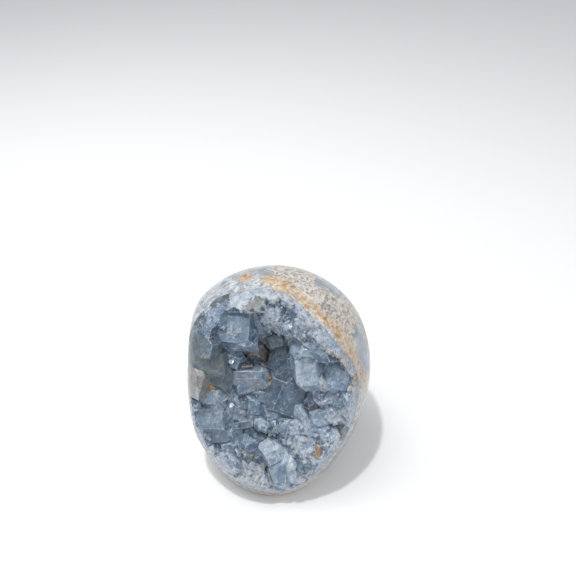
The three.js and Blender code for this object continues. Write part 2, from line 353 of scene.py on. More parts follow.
# Joins or cuts a piece with an object or a whole collection, and keeps the result
def combine(piece, operation, tool):
    modifier = piece.modifiers.new(operation, "BOOLEAN")
    modifier.operation = operation
    modifier.solver = "MANIFOLD"
    modifier.material_mode = "TRANSFER"
    if isinstance(tool, bpy.types.Collection):
        modifier.operand_type = "COLLECTION"
        modifier.collection = tool
    else:
        scene.collection.objects.link(tool)
        modifier.object = tool
    depsgraph = bpy.context.evaluated_depsgraph_get()
    joined = bpy.data.meshes.new_from_object(piece.evaluated_get(depsgraph), depsgraph=depsgraph)
    piece.modifiers.clear()
    old = piece.data
    piece.data = joined
    bpy.data.meshes.remove(old)
    for used in list(tool.objects) if isinstance(tool, bpy.types.Collection) else [tool]:
        bpy.data.meshes.remove(used.data)
    if isinstance(tool, bpy.types.Collection):
        bpy.data.collections.remove(tool)


# Turns a piece from the face's axes in millimetres to the scene, with crisp edges kept
def setDown(piece, body, crispAngle):
    piece.data.validate()
    piece.data.transform(toScene)
    piece.data.polygons.foreach_set("use_smooth", [True] * len(piece.data.polygons))
    piece.data.set_sharp_from_angle(angle=math.radians(crispAngle))
    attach(piece, body)


# The stone: where its iron stain, its pale blue patches and its frost lie. Strokes are
# lines on the face, each point with the stroke's half width there.
stoneMarks = {
    "iron": [
        [(-12.4, 42.1, 1.3), (-10.2, 42.9, 1.5), (-7.8, 43.4, 0.8)],
        [(-4.2, 43.4, 1), (0.2, 42, 2.4), (3.9, 40.7, 2.4), (7.6, 39.5, 2), (11.3, 37, 2),
         (14.8, 34.2, 1.9), (17.5, 32.4, 1.4), (20.2, 29.8, 1.7), (22.8, 26.6, 2), (24.4, 23.6, 1.9),
         (27, 20.2, 1.7), (29.8, 15.7, 1.7), (31, 11.3, 1.5), (33, 7.4, 1.4), (36.6, 3.6, 1)],
        [(-1.7, -39.6, 1.1), (4.2, -42, 1.1), (-6.9, -37.2, 0.9)],
    ],
    "blue": [
        [(-9, 44.4, 0.9), (-5.5, 44.9, 1.5), (-1.6, 44.4, 1.2)],
        [(15.5, 41.8, 0.9), (19, 40, 1.6), (23.5, 37, 0.9)],
        [(29.6, 25.5, 1.4), (31.6, 21.5, 2.4), (33.6, 15.5, 3), (35.4, 9, 2.8), (36.6, 2, 2)],
        [(35.6, -3, 2.6), (34.2, -9, 2.6), (31.8, -14.5, 2.6), (28.2, -20, 2.4),
         (24, -26, 2), (18, -32, 1.5)],
    ],
    "softEdge": (0.35, 1.25),  # the shares of its width between which a stroke fades out
    "jitter": 1.5,  # how far a stroke's edge wanders
    "jitterSize": 2.6,
    "frontHeights": (-14, 2),  # between these the back's marks give way to the strokes
    "fade": 1,  # how far the crust's frost runs out over the stone
    "frost": [
        [(-33.5, 12, 3), (-33, 22, 4.5), (-29, 32, 6), (-21, 39, 6), (-12, 41, 3), (-4, 41.5, 1.5)],
        [(-34, 10, 2.5), (-33.5, -2, 2), (-31, -14, 2), (-25, -26, 2), (-15, -35.5, 1.5)],
    ],
}


def strokeShare(x, y, strokes):
    point = Vector((x, y))
    best = 0
    for stroke in strokes:
        for (ax, ay, aw), (bx, by, bw) in zip(stroke, stroke[1:]):
            start, along = Vector((ax, ay)), Vector((bx - ax, by - ay))
            t = clamp((point - start).dot(along) / along.length_squared)
            width = mix(aw, bw, t)
            gap = (point - start - along * t).length
            best = max(best, 1 - smooth(*stoneMarks["softEdge"], gap / width))
            if best >= 1:
                return 1
    return best


# The frosted mottle that runs on from the stone into the polished crust
mottleNoise = {"Scale": perMetre / 2, "Detail": 6, "Roughness": 0.8, "Distortion": 0.6}


def makeStoneMaterial():
    # Polished limy matrix: sugary cream grains with dark specks, satin from polishing
    material, tree = newMaterial("polished limestone matrix")
    place = addNode(tree, "TexCoord").outputs["Object"]
    iron = addNode(tree, "Attribute", {"attribute_name": "iron"}).outputs["Fac"]
    blue = addNode(tree, "Attribute", {"attribute_name": "blue"}).outputs["Fac"]
    frost = addNode(tree, "Attribute", {"attribute_name": "frost"}).outputs["Fac"]

    grains = addNode(tree, "TexVoronoi", {"Scale": perMetre / 0.9}, {"Vector": place})
    grainTone = addNode(tree, "ValToRGB", links={"Fac": grains.outputs["Color"]}, stops=[
        (0.2, "#60564c"), (0.75, "#dedad5"), (0.33, "#968c81"), (0.48, "#beb6ad")])
    drift = addNode(tree, "TexNoise", {"Scale": perMetre / 12, "Detail": 4}, {"Vector": place})
    driftTone = addNode(tree, "ValToRGB", links={"Fac": drift.outputs["Fac"]}, stops=[
        (0.35, "#919596"), (0.7, "#c3b8ab"), (0.52, "#b3ada6")])
    matrix = addNode(tree, "Mix", {"data_type": "RGBA", "blend_type": "MIX", 0: 0.5},
                     {6: grainTone.outputs["Color"], 7: driftTone.outputs["Color"]})

    specks = addNode(tree, "TexNoise", {"Scale": perMetre / 0.8, "Detail": 4, "Roughness": 0.7},
                     {"Vector": place})
    speckShare = addNode(tree, "ValToRGB", links={"Fac": specks.outputs["Fac"]}, stops=[
        (0.55, 0.0), (0.64, 0.8)])
    specked = addNode(tree, "Mix", {"data_type": "RGBA", 7: linear("#6e6256")},
                      {0: speckShare.outputs["Color"], 6: matrix.outputs[2]})

    streaks = addNode(tree, "TexNoise", {"Scale": perMetre / 5, "Detail": 5, "Distortion": 0.6},
                      {"Vector": place})
    blueTone = addNode(tree, "ValToRGB", links={"Fac": streaks.outputs["Fac"]}, stops=[
        (0.3, "#7a858e"), (0.7, "#adb2b6"), (0.5, "#929aa2")])
    blueEdge = addNode(tree, "Math", {"operation": "MULTIPLY_ADD", 1: 1.2, 2: -0.6},
                       {0: specks.outputs["Fac"]})
    blueShare = addNode(tree, "Math", {"operation": "ADD", "use_clamp": True},
                        {0: blue, 1: blueEdge.outputs["Value"]})
    blueMask = addNode(tree, "ValToRGB", links={"Fac": blueShare.outputs["Value"]}, stops=[
        (0.3, 0.0), (0.75, 1.0)])
    veined = addNode(tree, "Mix", {"data_type": "RGBA"},
                     {0: blueMask.outputs["Color"], 6: specked.outputs[2],
                      7: blueTone.outputs["Color"]})

    # Frosted white and pale grey-blue where the crystals thin out under the polish
    mottle = addNode(tree, "TexNoise", mottleNoise, {"Vector": place})
    mottleTone = addNode(tree, "ValToRGB", links={"Fac": mottle.outputs["Fac"]}, stops=[
        (0.36, "#606b73"), (0.64, "#d5d7d8"), (0.46, "#8e98a0"), (0.53, "#b4b9bd")])
    mottleEdge = addNode(tree, "Math", {"operation": "MULTIPLY_ADD", 1: 1.6, 2: -0.8},
                         {0: mottle.outputs["Fac"]})
    mottleShare = addNode(tree, "Math", {"operation": "ADD", "use_clamp": True},
                          {0: frost, 1: mottleEdge.outputs["Value"]})
    mottleMask = addNode(tree, "ValToRGB", links={"Fac": mottleShare.outputs["Value"]}, stops=[
        (0.25, 0.0), (0.6, 1.0)])
    mottleLeft = addNode(tree, "Math", {"operation": "SUBTRACT", "use_clamp": True},
                         {0: mottleMask.outputs["Color"], 1: speckShare.outputs["Color"]})
    frosted = addNode(tree, "Mix", {"data_type": "RGBA"},
                      {0: mottleLeft.outputs["Value"], 6: veined.outputs[2],
                       7: mottleTone.outputs["Color"]})

    rust = addNode(tree, "TexNoise", {"Scale": perMetre / 2, "Detail": 6, "Roughness": 0.75},
                   {"Vector": place})
    rustTone = addNode(tree, "ValToRGB", links={"Fac": rust.outputs["Fac"]}, stops=[
        (0.36, "#d8cab5"), (0.66, "#775f4c"), (0.48, "#c5a884"), (0.56, "#ac8c69")])
    rustBreak = addNode(tree, "Math", {"operation": "MULTIPLY_ADD", 1: 5, 2: -1.85},
                        {0: rust.outputs["Fac"]})
    rustShare = addNode(tree, "Math", {"operation": "MULTIPLY", "use_clamp": True},
                        {0: iron, 1: rustBreak.outputs["Value"]})
    stained = addNode(tree, "Mix", {"data_type": "RGBA"},
                      {0: rustShare.outputs["Value"], 6: frosted.outputs[2],
                       7: rustTone.outputs["Color"]})

    pitted = addNode(tree, "Bump", {"Strength": 0.25, "Distance": 0.3 / perMetre},
                     {"Height": speckShare.outputs["Color"]})
    gloss = addNode(tree, "MapRange", {"To Min": 0.38, "To Max": 0.2},
                    {"Value": blueMask.outputs["Color"]})
    shader = addNode(tree, "BsdfPrincipled",
                     {"IOR": 1.56, "Coat Weight": 0.25, "Coat Roughness": 0.2},
                     {"Base Color": stained.outputs[2], "Roughness": gloss.outputs["Result"],
                      "Normal": pitted.outputs["Normal"]})
    addNode(tree, "OutputMaterial", links={"Surface": shader.outputs["BSDF"]})
    return material


# On the back, a wandering iron vein and cloudy patches of pale celestite
backMarks = {
    "cloudSizes": (26, 9),
    "cloudDetail": 0.4,
    "cloudEdge": (0.05, 0.25),
    "veinSizes": (30, 8),
    "veinDetail": 0.25,
    "veinEdge": (0.01, 0.05),
}


def paintStone(mesh):
    iron = mesh.attributes.new("iron", "FLOAT", "POINT")
    blue = mesh.attributes.new("blue", "FLOAT", "POINT")
    frost = mesh.attributes.new("frost", "FLOAT", "POINT")
    size = stoneMarks["jitterSize"]
    cloudSize, cloudDetailSize = backMarks["cloudSizes"]
    veinSize, veinDetailSize = backMarks["veinSizes"]
    for i, vert in enumerate(mesh.vertices):
        x, y, z = vert.co
        front = smooth(*stoneMarks["frontHeights"], z)
        jitter = [stoneMarks["jitter"] * wobble(x, y, z, size, seed=seed) for seed in (5, 6)]
        ironLine = strokeShare(x + jitter[0], y + jitter[1], stoneMarks["iron"])
        bluePatch = strokeShare(x + jitter[1], y + jitter[0], stoneMarks["blue"])
        fromMouth = math.hypot(x, y) - mouthRadius(math.atan2(y, x))
        fading = 1 - smooth(0, stoneMarks["fade"], fromMouth + jitter[0])
        frost.data[i].value = front * max(fading, strokeShare(
            x + jitter[1], y + jitter[1], stoneMarks["frost"]))
        cloud = wobble(x, y, z, cloudSize, seed=7)
        cloud += backMarks["cloudDetail"] * wobble(x, y, z, cloudDetailSize, seed=8)
        vein = wobble(x, y, z, veinSize, seed=9)
        vein += backMarks["veinDetail"] * wobble(x, y, z, veinDetailSize, seed=10)
        veinShare = 1 - smooth(*backMarks["veinEdge"], abs(vein))
        cloudShare = smooth(*backMarks["cloudEdge"], cloud)
        iron.data[i].value = max(ironLine * front, veinShare * (1 - front))
        blue.data[i].value = max(bluePatch * front, cloudShare * (1 - front))


def makeStone():
    bm = eggBall()
    upright = toUpright.inverted()
    cut = bmesh.ops.bisect_plane(
        bm, geom=bm.verts[:] + bm.edges[:] + bm.faces[:], clear_inner=True,
        plane_co=upright @ Vector((0, 0, 0)), plane_no=upright.to_3x3() @ Vector((0, 0, 1)))
    rim = [e for e in cut["geom_cut"] if isinstance(e, bmesh.types.BMEdge)]
    bmesh.ops.holes_fill(bm, edges=rim)
    bmesh.ops.recalc_face_normals(bm, faces=bm.faces)
    stone = objectFrom(bm, "polishedStone", makeStoneMaterial())
    scene.collection.objects.link(stone)
    combine(stone, "DIFFERENCE", objectFrom(hollowLens(0), "hollow", stone.data.materials[0]))
    paintStone(stone.data)
    setDown(stone, "root", eggShape["crispAngle"])
    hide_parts("geode_stone")
    return stone


stone = makeStone()
print("stone", len(stone.data.polygons), "faces")


# The crust of crystals. Each crystal's look is five shares: shade from dark to pale blue,
# milk from clear to frosted white, smoke towards grey-green, rust towards iron brown, and
# grit where the stone's grains crust it.
# at is the tip's place on the face, rise its height over the bed, size its width and
# breadth, turn its angle, lean its tilt to the right and up the face in degrees, tip the
# share of its size that is flat on top, and slopes how steep its left, right, lower and
# upper faces fall. bare keeps small crystals off it.
crystals = [
    # The raised block and the worn ones round it
    {"at": (-13.6, 25.7), "rise": 8.1, "size": (12.8, 13), "turn": -5, "lean": (-3, 2),
     "tip": (0.86, 0.72), "slopes": (70, 56, 40, 26), "shade": 0.5, "milk": 0.1, "bare": True},
    # A low pale mound on the block's face: white crumbs, and a painted highlight of light inside the
    # block
    {"at": (-14, 25.4), "rise": 8.3, "size": (6.8, 5.4), "turn": -12, "lean": (-3, 2),
     "tip": (0.4, 0.4), "slopes": (12, 12, 12, 12), "shade": 0.9, "milk": 0.6, "bare": True},
    {"at": (-11.4, 33), "rise": 6, "size": (13, 5.5), "turn": 2, "lean": (2, -6),
     "tip": (0.8, 0.3), "slopes": (60, 60, 34, 40), "shade": 0.42, "milk": 0.15, "bare": True},
    {"at": (-25.6, 27.6), "rise": 7.4, "size": (8.5, 12), "turn": -5, "lean": (-8, 6),
     "tip": (0.9, 0.8), "slopes": (40, 70, 50, 40), "shade": 0.3, "milk": 0.12, "smoke": 0.1,
     "bare": True},
    {"at": (-20, 30.5), "rise": 5, "size": (5, 6), "turn": -5, "lean": (-4, 4),
     "tip": (0.7, 0.7), "shade": 0.45, "milk": 0.2},
    {"at": (-19.3, 35.9), "rise": 9, "size": (7.5, 1.6), "turn": 24, "lean": (0, 0),
     "tip": (0.9, 0.9), "slopes": (70, 70, 70, 70), "shade": 0.3, "milk": 0.05, "smoke": 0.5},
    {"at": (-18.4, 36), "rise": 7, "size": (13, 6), "turn": 24, "lean": (-6, 12),
     "tip": (0.85, 0.5), "shade": 0.85, "milk": 0.75},
    {"at": (-9.1, 38), "rise": 6, "size": (11, 6), "turn": 4, "lean": (0, 12),
     "tip": (0.7, 0.4), "shade": 0.95, "milk": 0.8},
    {"at": (-6.2, 29.6), "rise": 4.6, "size": (5.5, 9), "turn": 12, "lean": (10, -4),
     "tip": (0.5, 0.6), "shade": 0.4, "milk": 0.15},
    {"at": (-5.2, 34.4), "rise": 0.8, "size": (5, 4.5), "turn": 20, "lean": (6, -4),
     "tip": (0.6, 0.6), "shade": 0.05, "milk": 0, "smoke": 0.65, "rust": 0.06},
    {"at": (-0.2, 31.6), "rise": 6.4, "size": (8.5, 7), "turn": -12, "lean": (-4, 4),
     "tip": (0.6, 0.5), "shade": 0.85, "milk": 0.6},
    {"at": (-4.8, 24.6), "rise": 4, "size": (10, 5.5), "turn": 8, "lean": (2, -10),
     "tip": (0.7, 0.4), "shade": 0.5, "milk": 0.35, "smoke": 0.3},
    # Round the dark cavity
    {"at": (-6.4, 16.6), "rise": 4, "size": (5, 6.5), "turn": -8, "lean": (4, 6),
     "tip": (0.5, 0.5), "shade": 0.15, "milk": 0.1, "smoke": 0.5, "rust": 0.2, "bare": True},
    {"at": (1.2, 20.4), "rise": 3.4, "size": (8.5, 7), "turn": 24, "lean": (-8, -6),
     "tip": (0.6, 0.6), "shade": 0.2, "milk": 0.1, "smoke": 0.3, "bare": True},
    {"at": (3, 13.4), "rise": 5, "size": (6.5, 11), "turn": -38, "lean": (-6, 6),
     "tip": (0.25, 0.8), "slopes": (44, 50, 60, 60), "shade": 0.22, "milk": 0.05, "smoke": 0.2,
     "bare": True},
    {"at": (-15.4, 12.6), "rise": 4.4, "size": (9.5, 8), "turn": -22, "lean": (8, -4),
     "tip": (0.7, 0.5), "shade": 0.5, "milk": 0.15, "bare": True},
    {"at": (-17, 17.4), "rise": 4.6, "size": (9, 5), "turn": -12, "lean": (2, -14),
     "tip": (0.7, 0.4), "shade": 0.36, "milk": 0.08, "smoke": 0.2, "bare": True},
    {"at": (-10.6, 7.2), "rise": 4.8, "size": (15.5, 6.5), "turn": 3, "lean": (-4, 12),
     "tip": (0.85, 0.4), "slopes": (50, 50, 36, 44), "shade": 0.58, "milk": 0.2, "smoke": 0.15,
     "rust": 0.05, "bare": True},
    {"at": (-9.4, 10.4), "rise": 4.9, "size": (4.5, 0.5), "turn": 6, "lean": (0, 0),
     "tip": (0.8, 0.8), "slopes": (80, 80, 80, 80), "shade": 0.5, "milk": 0.3, "rust": 0.6},
    {"at": (-9.6, 1.8), "rise": 3.8, "size": (9, 7), "turn": 12, "lean": (6, -4),
     "tip": (0.7, 0.5), "shade": 0.52, "milk": 0.15, "bare": True},
    {"at": (-1.5, 5.4), "rise": 3.4, "size": (4, 5), "turn": 12, "lean": (8, 4),
     "tip": (0.4, 0.4), "shade": 0.5, "milk": 0.4, "rust": 0.9},
    {"at": (-1.8, 0.4), "rise": 3.4, "size": (3, 6), "turn": 10, "lean": (8, 0),
     "tip": (0.4, 0.4), "shade": 0.8, "milk": 0.7},
    # The large dark one, the hole beside it and the blue ones above. The large one and the one above
    # it are painted dark partly as the shade of a deep face, over their own teal.
    {"at": (7.8, -2.2), "rise": 5, "size": (16, 19), "turn": -22, "lean": (4, -3),
     "tip": (0.7, 0.64), "slopes": (16, 44, 40, 6), "shade": 0.24, "milk": 0.03, "smoke": 0.12,
     "bare": True},
    {"at": (5.3, 9.6), "rise": 4.6, "size": (8.5, 11), "turn": -22, "lean": (4, 0),
     "tip": (0.74, 0.8), "slopes": (44, 50, 16, 50), "shade": 0.32, "milk": 0.04, "smoke": 0.1,
     "bare": True},
    {"at": (12.6, 18.6), "rise": 6.6, "size": (8.5, 6), "turn": 4, "lean": (-2, 6),
     "tip": (0.5, 0.4), "shade": 0.75, "milk": 0.3, "bare": True},
    {"at": (12.4, 11), "rise": 7.4, "size": (8, 12), "turn": 6, "lean": (-6, 4),
     "tip": (0.92, 0.84), "slopes": (62, 66, 50, 30), "shade": 0.72, "milk": 0.2, "bare": True},
    {"at": (18.8, 17.4), "rise": 6.2, "size": (7, 9.5), "turn": 24, "lean": (4, -12),
     "tip": (0.3, 0.4), "slopes": (44, 40, 46, 46), "shade": 0.36, "milk": 0.08, "bare": True},
    {"at": (24, 8.6), "rise": 5.4, "size": (8, 9.5), "turn": -12, "lean": (-4, 2),
     "tip": (0.8, 0.7), "shade": 0.62, "milk": 0.25, "bare": True},
    # Painted shade: this nearly black flat crystal fills the hole beside the large one as its shadow
    {"at": (15.2, -1.4), "rise": 5.2, "size": (6, 8), "turn": -24, "lean": (4, 4),
     "tip": (0.85, 0.85), "slopes": (70, 70, 66, 66), "shade": 0.1, "bare": True},
    {"at": (17.6, 7.6), "rise": 7.8, "size": (3.4, 8), "turn": 24, "lean": (-8, 10),
     "tip": (0.4, 0.3), "slopes": (62, 70, 46, 66), "shade": 1, "milk": 0.9, "bare": True},
    {"at": (19.2, 22.6), "rise": 3.8, "size": (4.5, 8.5), "turn": 38, "lean": (2, -6),
     "tip": (0.7, 0.8), "shade": 0.7, "milk": 0.5},
    {"at": (20.1, 0.2), "rise": 6.4, "size": (6.5, 6), "turn": 10, "lean": (-4, 6),
     "tip": (0.6, 0.5), "shade": 0.8, "milk": 0.7},
    {"at": (25, 0.6), "rise": 5.4, "size": (6, 5.5), "turn": -20, "lean": (-6, 4),
     "tip": (0.6, 0.6), "shade": 0.6, "milk": 0.4},
    # The frosted mass at the lower right
    {"at": (10.6, -3.8), "rise": 6.6, "size": (4.8, 6.5), "turn": 14, "lean": (0, 28),
     "tip": (0.1, 0.2), "slopes": (54, 58, 40, 66), "shade": 0.9, "milk": 0.45, "bare": True},
    {"at": (18, -7.4), "rise": 6.4, "size": (8, 7.5), "turn": 14, "lean": (-4, 6),
     "tip": (0.7, 0.6), "slopes": (66, 50, 46, 70), "shade": 0.72, "milk": 0.35, "bare": True},
    {"at": (22.8, -6.6), "rise": 6.4, "size": (6, 7), "turn": -24, "lean": (-6, 4),
     "tip": (0.5, 0.5), "shade": 0.9, "milk": 0.85},
    {"at": (28.2, -1.4), "rise": 5.6, "size": (4.5, 8), "turn": -8, "lean": (-10, 4),
     "tip": (0.6, 0.6), "shade": 0.6, "milk": 0.5},
    {"at": (27.2, -12.6), "rise": 3, "size": (2.6, 7), "turn": 24, "lean": (4, -4),
     "tip": (0.8, 0.8), "slopes": (74, 74, 70, 70), "shade": 0.15, "milk": 0.05, "smoke": 0.35,
     "bare": True},
    {"at": (9.4, -12.8), "rise": 5.4, "size": (7.5, 6), "turn": 8, "lean": (2, 8),
     "tip": (0.6, 0.5), "shade": 0.95, "milk": 0.8},
    {"at": (14.6, -12.8), "rise": 5.6, "size": (7, 6), "turn": -14, "lean": (-4, 6),
     "tip": (0.6, 0.5), "shade": 0.9, "milk": 0.75},
    {"at": (19.6, -13.6), "rise": 5.6, "size": (6.5, 6), "turn": 20, "lean": (-6, 6),
     "tip": (0.5, 0.6), "shade": 0.85, "milk": 0.65},
    {"at": (6.4, -16.8), "rise": 5.4, "size": (5.5, 5), "turn": -6, "lean": (-4, 8),
     "tip": (0.4, 0.5), "shade": 0.85, "milk": 0.8},
    {"at": (13.2, -17.2), "rise": 5.2, "size": (8.5, 5), "turn": -4, "lean": (0, 6),
     "tip": (0.7, 0.5), "shade": 0.85, "milk": 0.7},
    {"at": (17.6, -19.4), "rise": 5.4, "size": (3.2, 3.6), "turn": 26, "lean": (6, 8),
     "tip": (0.5, 0.5), "shade": 1, "milk": 1, "rust": 0.6},
    {"at": (13.2, -20.6), "rise": 6, "size": (4.4, 4.4), "turn": 6, "lean": (0, 4),
     "tip": (0.5, 0.5), "shade": 0.95, "milk": 0.9},
    {"at": (22.4, -17.8), "rise": 5, "size": (5, 8), "turn": 36, "lean": (-6, 2),
     "tip": (0.7, 0.6), "shade": 0.75, "milk": 0.6, "smoke": 0.2},
    # The bottom: the pale block, the tall blue one and its white shard
    {"at": (0.8, -22.8), "rise": 7.6, "size": (8, 8), "turn": 28, "lean": (-2, 2),
     "tip": (0.6, 0.6), "slopes": (60, 50, 60, 40), "shade": 0.8, "milk": 0.4, "bare": True},
    {"at": (4.2, -29), "rise": 6.6, "size": (6.5, 12), "turn": -4, "lean": (-4, -4),
     "tip": (0.5, 0.8), "slopes": (40, 46, 40, 40), "shade": 0.7, "milk": 0.1, "bare": True},
    {"at": (8.6, -28.2), "rise": 7, "size": (3.6, 8), "turn": 8, "lean": (4, -2),
     "tip": (0.4, 0.6), "shade": 0.95, "milk": 0.7, "bare": True},
    {"at": (13.4, -26), "rise": 5.4, "size": (6.5, 8.5), "turn": -28, "lean": (4, 0),
     "tip": (0.6, 0.6), "shade": 0.55, "milk": 0.3, "smoke": 0.2},
    {"at": (10.4, -22.4), "rise": 4.6, "size": (6.5, 6), "turn": -32, "lean": (6, -4),
     "tip": (0.6, 0.5), "shade": 0.42, "milk": 0.2, "smoke": 0.2},
    {"at": (-3, -12.9), "rise": 5.2, "size": (5.5, 4), "turn": -8, "lean": (2, 8),
     "tip": (0.5, 0.5), "shade": 0.85, "milk": 0.5},
    {"at": (3.2, -13), "rise": 4.8, "size": (8, 5.5), "turn": 10, "lean": (-2, 4),
     "tip": (0.6, 0.5), "shade": 0.52, "milk": 0.2},
    {"at": (-7.4, -20.2), "rise": 5, "size": (7.5, 5.5), "turn": 30, "lean": (-2, 4),
     "tip": (0.7, 0.5), "shade": 0.46, "milk": 0.1, "bare": True},
    {"at": (-4.6, -18.8), "rise": 4.4, "size": (4.5, 7), "turn": -20, "lean": (12, -8),
     "tip": (0.5, 0.6), "shade": 0.22, "milk": 0.03, "smoke": 0.3, "bare": True},
    {"at": (-8.8, -24.2), "rise": 4.4, "size": (5.5, 4.5), "turn": -20, "lean": (4, 2),
     "tip": (0.6, 0.6), "shade": 0.35, "milk": 0.15, "smoke": 0.6, "rust": 0.12},
    {"at": (-11.7, -22.9), "rise": 7, "size": (1, 5.5), "turn": 20, "lean": (10, 0),
     "tip": (0.5, 0.8), "slopes": (80, 80, 70, 70), "shade": 1, "milk": 1},
    {"at": (-6.8, -32.4), "rise": 5.4, "size": (12, 7), "turn": -30, "lean": (0, 8),
     "tip": (0.7, 0.6), "slopes": (30, 30, 30, 40), "shade": 1, "milk": 1, "grit": 0.3},
    {"at": (-15.4, -22.2), "rise": 4.8, "size": (8, 9.5), "turn": 12, "lean": (4, -2),
     "tip": (0.6, 0.7), "shade": 0.55, "milk": 0.2, "bare": True},
    {"at": (-17.6, -26), "rise": 5, "size": (6, 6), "turn": 30, "lean": (-6, -4),
     "tip": (0.6, 0.6), "shade": 0.8, "milk": 0.55},
    # The left side
    {"at": (-18.9, -16), "rise": 6, "size": (11, 6.5), "turn": 8, "lean": (-2, -4),
     "tip": (0.8, 0.6), "slopes": (50, 50, 46, 60), "shade": 0.52, "milk": 0.12, "smoke": 0.12,
     "bare": True},
    {"at": (-22.6, -8.4), "rise": 7, "size": (11.5, 10), "turn": 4, "lean": (-6, 2),
     "tip": (0.85, 0.75), "slopes": (40, 58, 44, 40), "shade": 0.52, "milk": 0.2, "smoke": 0.18,
     "bare": True},
    {"at": (-22.8, 0), "rise": 6.6, "size": (7.5, 8.5), "turn": -8, "lean": (-2, 4),
     "tip": (0.7, 0.6), "shade": 0.6, "milk": 0.25, "bare": True},
    {"at": (-18.4, -2.8), "rise": 5.6, "size": (0.8, 5), "turn": -58, "lean": (0, 8),
     "tip": (0.6, 0.8), "slopes": (80, 80, 70, 70), "shade": 1, "milk": 0.9},
    {"at": (-27.4, 5.8), "rise": 9.5, "size": (7.5, 11), "turn": -14, "lean": (-6, 0),
     "tip": (0.8, 0.8), "slopes": (50, 80, 76, 50), "shade": 1, "milk": 0.2, "smoke": 0.6,
     "rust": 0.24, "bare": True},
    {"at": (-23.4, 3.8), "rise": 7, "size": (2.4, 3.4), "turn": 30, "lean": (0, 0),
     "tip": (0.6, 0.6), "shade": 0.3, "milk": 0.2, "smoke": 0.3, "rust": 1},
    {"at": (-25.6, 20.6), "rise": 8, "size": (9, 5), "turn": -4, "lean": (-8, -4),
     "tip": (0.85, 0.7), "shade": 0.3, "milk": 0.05, "smoke": 0.5, "bare": True},
    {"at": (-24.6, 14.6), "rise": 9.5, "size": (10, 9), "turn": 8, "lean": (-8, 4),
     "tip": (0.8, 0.8), "shade": 0.5, "milk": 0.12, "smoke": 0.65, "bare": True},
    {"at": (-20.4, 15.6), "rise": 7.6, "size": (2.4, 4.6), "turn": 12, "lean": (4, 0),
     "tip": (0.6, 0.6), "shade": 0.7, "milk": 0.2, "smoke": 0.6, "rust": 0.4, "bare": True},
    {"at": (-20.6, 8), "rise": 7, "size": (8.5, 9.5), "turn": -12, "lean": (-4, 4),
     "tip": (0.8, 0.7), "shade": 0.5, "milk": 0.12, "smoke": 0.6, "bare": True},
    {"at": (-16.2, -7.6), "rise": 4.4, "size": (5.5, 7), "turn": 6, "lean": (-2, 4),
     "tip": (0.6, 0.6), "shade": 0.5, "milk": 0.15, "bare": True},
    {"at": (-13.6, -6.4), "rise": 2.6, "size": (4.5, 5), "turn": 30, "lean": (8, -4),
     "tip": (0.5, 0.5), "shade": 0.2, "milk": 0.15, "smoke": 0.3, "rust": 0.4},
    {"at": (-15.4, -12.8), "rise": 4, "size": (6.5, 5.5), "turn": -14, "lean": (2, 2),
     "tip": (0.7, 0.5), "shade": 0.42, "milk": 0.15},
    # The middle
    {"at": (-7.2, -5.4), "rise": 4.2, "size": (5.5, 8.5), "turn": -6, "lean": (2, 2),
     "tip": (0.5, 0.6), "shade": 0.5, "milk": 0.2},
    {"at": (-4.6, -1.4), "rise": 4, "size": (7.5, 6), "turn": -14, "lean": (4, 4),
     "tip": (0.6, 0.6), "shade": 0.48, "milk": 0.12},
    {"at": (0, -7.2), "rise": 4.2, "size": (7.5, 9), "turn": 16, "lean": (-2, 4),
     "tip": (0.6, 0.6), "shade": 0.44, "milk": 0.1, "bare": True},
    {"at": (-10.6, -12.6), "rise": 3.6, "size": (8, 5.5), "turn": 10, "lean": (-2, -4),
     "tip": (0.7, 0.5), "shade": 0.36, "milk": 0.08, "smoke": 0.2},
    {"at": (5.4, 27.4), "rise": 4.4, "size": (7, 5.5), "turn": 28, "lean": (-2, 8),
     "tip": (0.5, 0.5), "shade": 0.75, "milk": 0.45},
    {"at": (10.4, 27.6), "rise": 4.6, "size": (7, 6), "turn": -18, "lean": (-4, 6),
     "tip": (0.5, 0.5), "shade": 0.62, "milk": 0.35},
]

crystalShape = {
    "rootDepth": 3.5,  # how far a crystal reaches down into the bed
    "skirt": 2.2,  # how far its falling faces widen it below its size
    "smallSkirt": 0.15,  # the same for a small crystal, as a share of its size
    "slopes": (38, 62),  # degrees, where a crystal states none
    "chamfer": 0.7,  # the share of a large crystal's side left by its cut edges
    "cornerCuts": 2,  # irregular faces that break a large crystal's corners
    "cutReach": (0.65, 1),  # the share of the tip at which such a cut starts
    "cutAcross": (0.3, 1),
    "cutUp": (0.6, 1.6),
    "weld": 0.02,  # corners nearer than this become one
    "wornEdge": 0.16,  # width of the worn edges, which are painted whitish: partly real wear, partly a painted highlight
}

# How the faces of one crystal differ, as shares of shade and milk
faceTones = {
    "large": 0.16,
    "small": 0.3,
    "milk": 0.08,
    "crown": 0.3,  # small crystals are frosted white on top, and painted lighter there as if lit from above
    "flank": -0.15,  # and clearer down their sides, with painted shade there
    "crownSlope": 0.85,
    "wornLarge": 0.25,  # how much paler the edges are painted: real frosted wear and a painted highlight along each edge
    "wornMedium": 0.12,
    "wornPatches": 1.5,
    "wornPatchSize": 3,
}

# Open pits between the crystals, their walls painted nearly black as shade, some stained by rust
pits = [
    {"at": (-5.2, 34.9), "radius": 3.2, "rust": 0.25},
    {"at": (-3, 14.8), "radius": 4, "rust": 0.25},
    {"at": (-9.4, 11.8), "radius": 2.6, "rust": 0.25},
    {"at": (15.6, -1.6), "radius": 4.4},
    {"at": (-11.7, -17.2), "radius": 1.8},
    {"at": (-0.8, -30.2), "radius": 1.8},
]

lookNames = ("shade", "milk", "smoke", "rust", "grit")


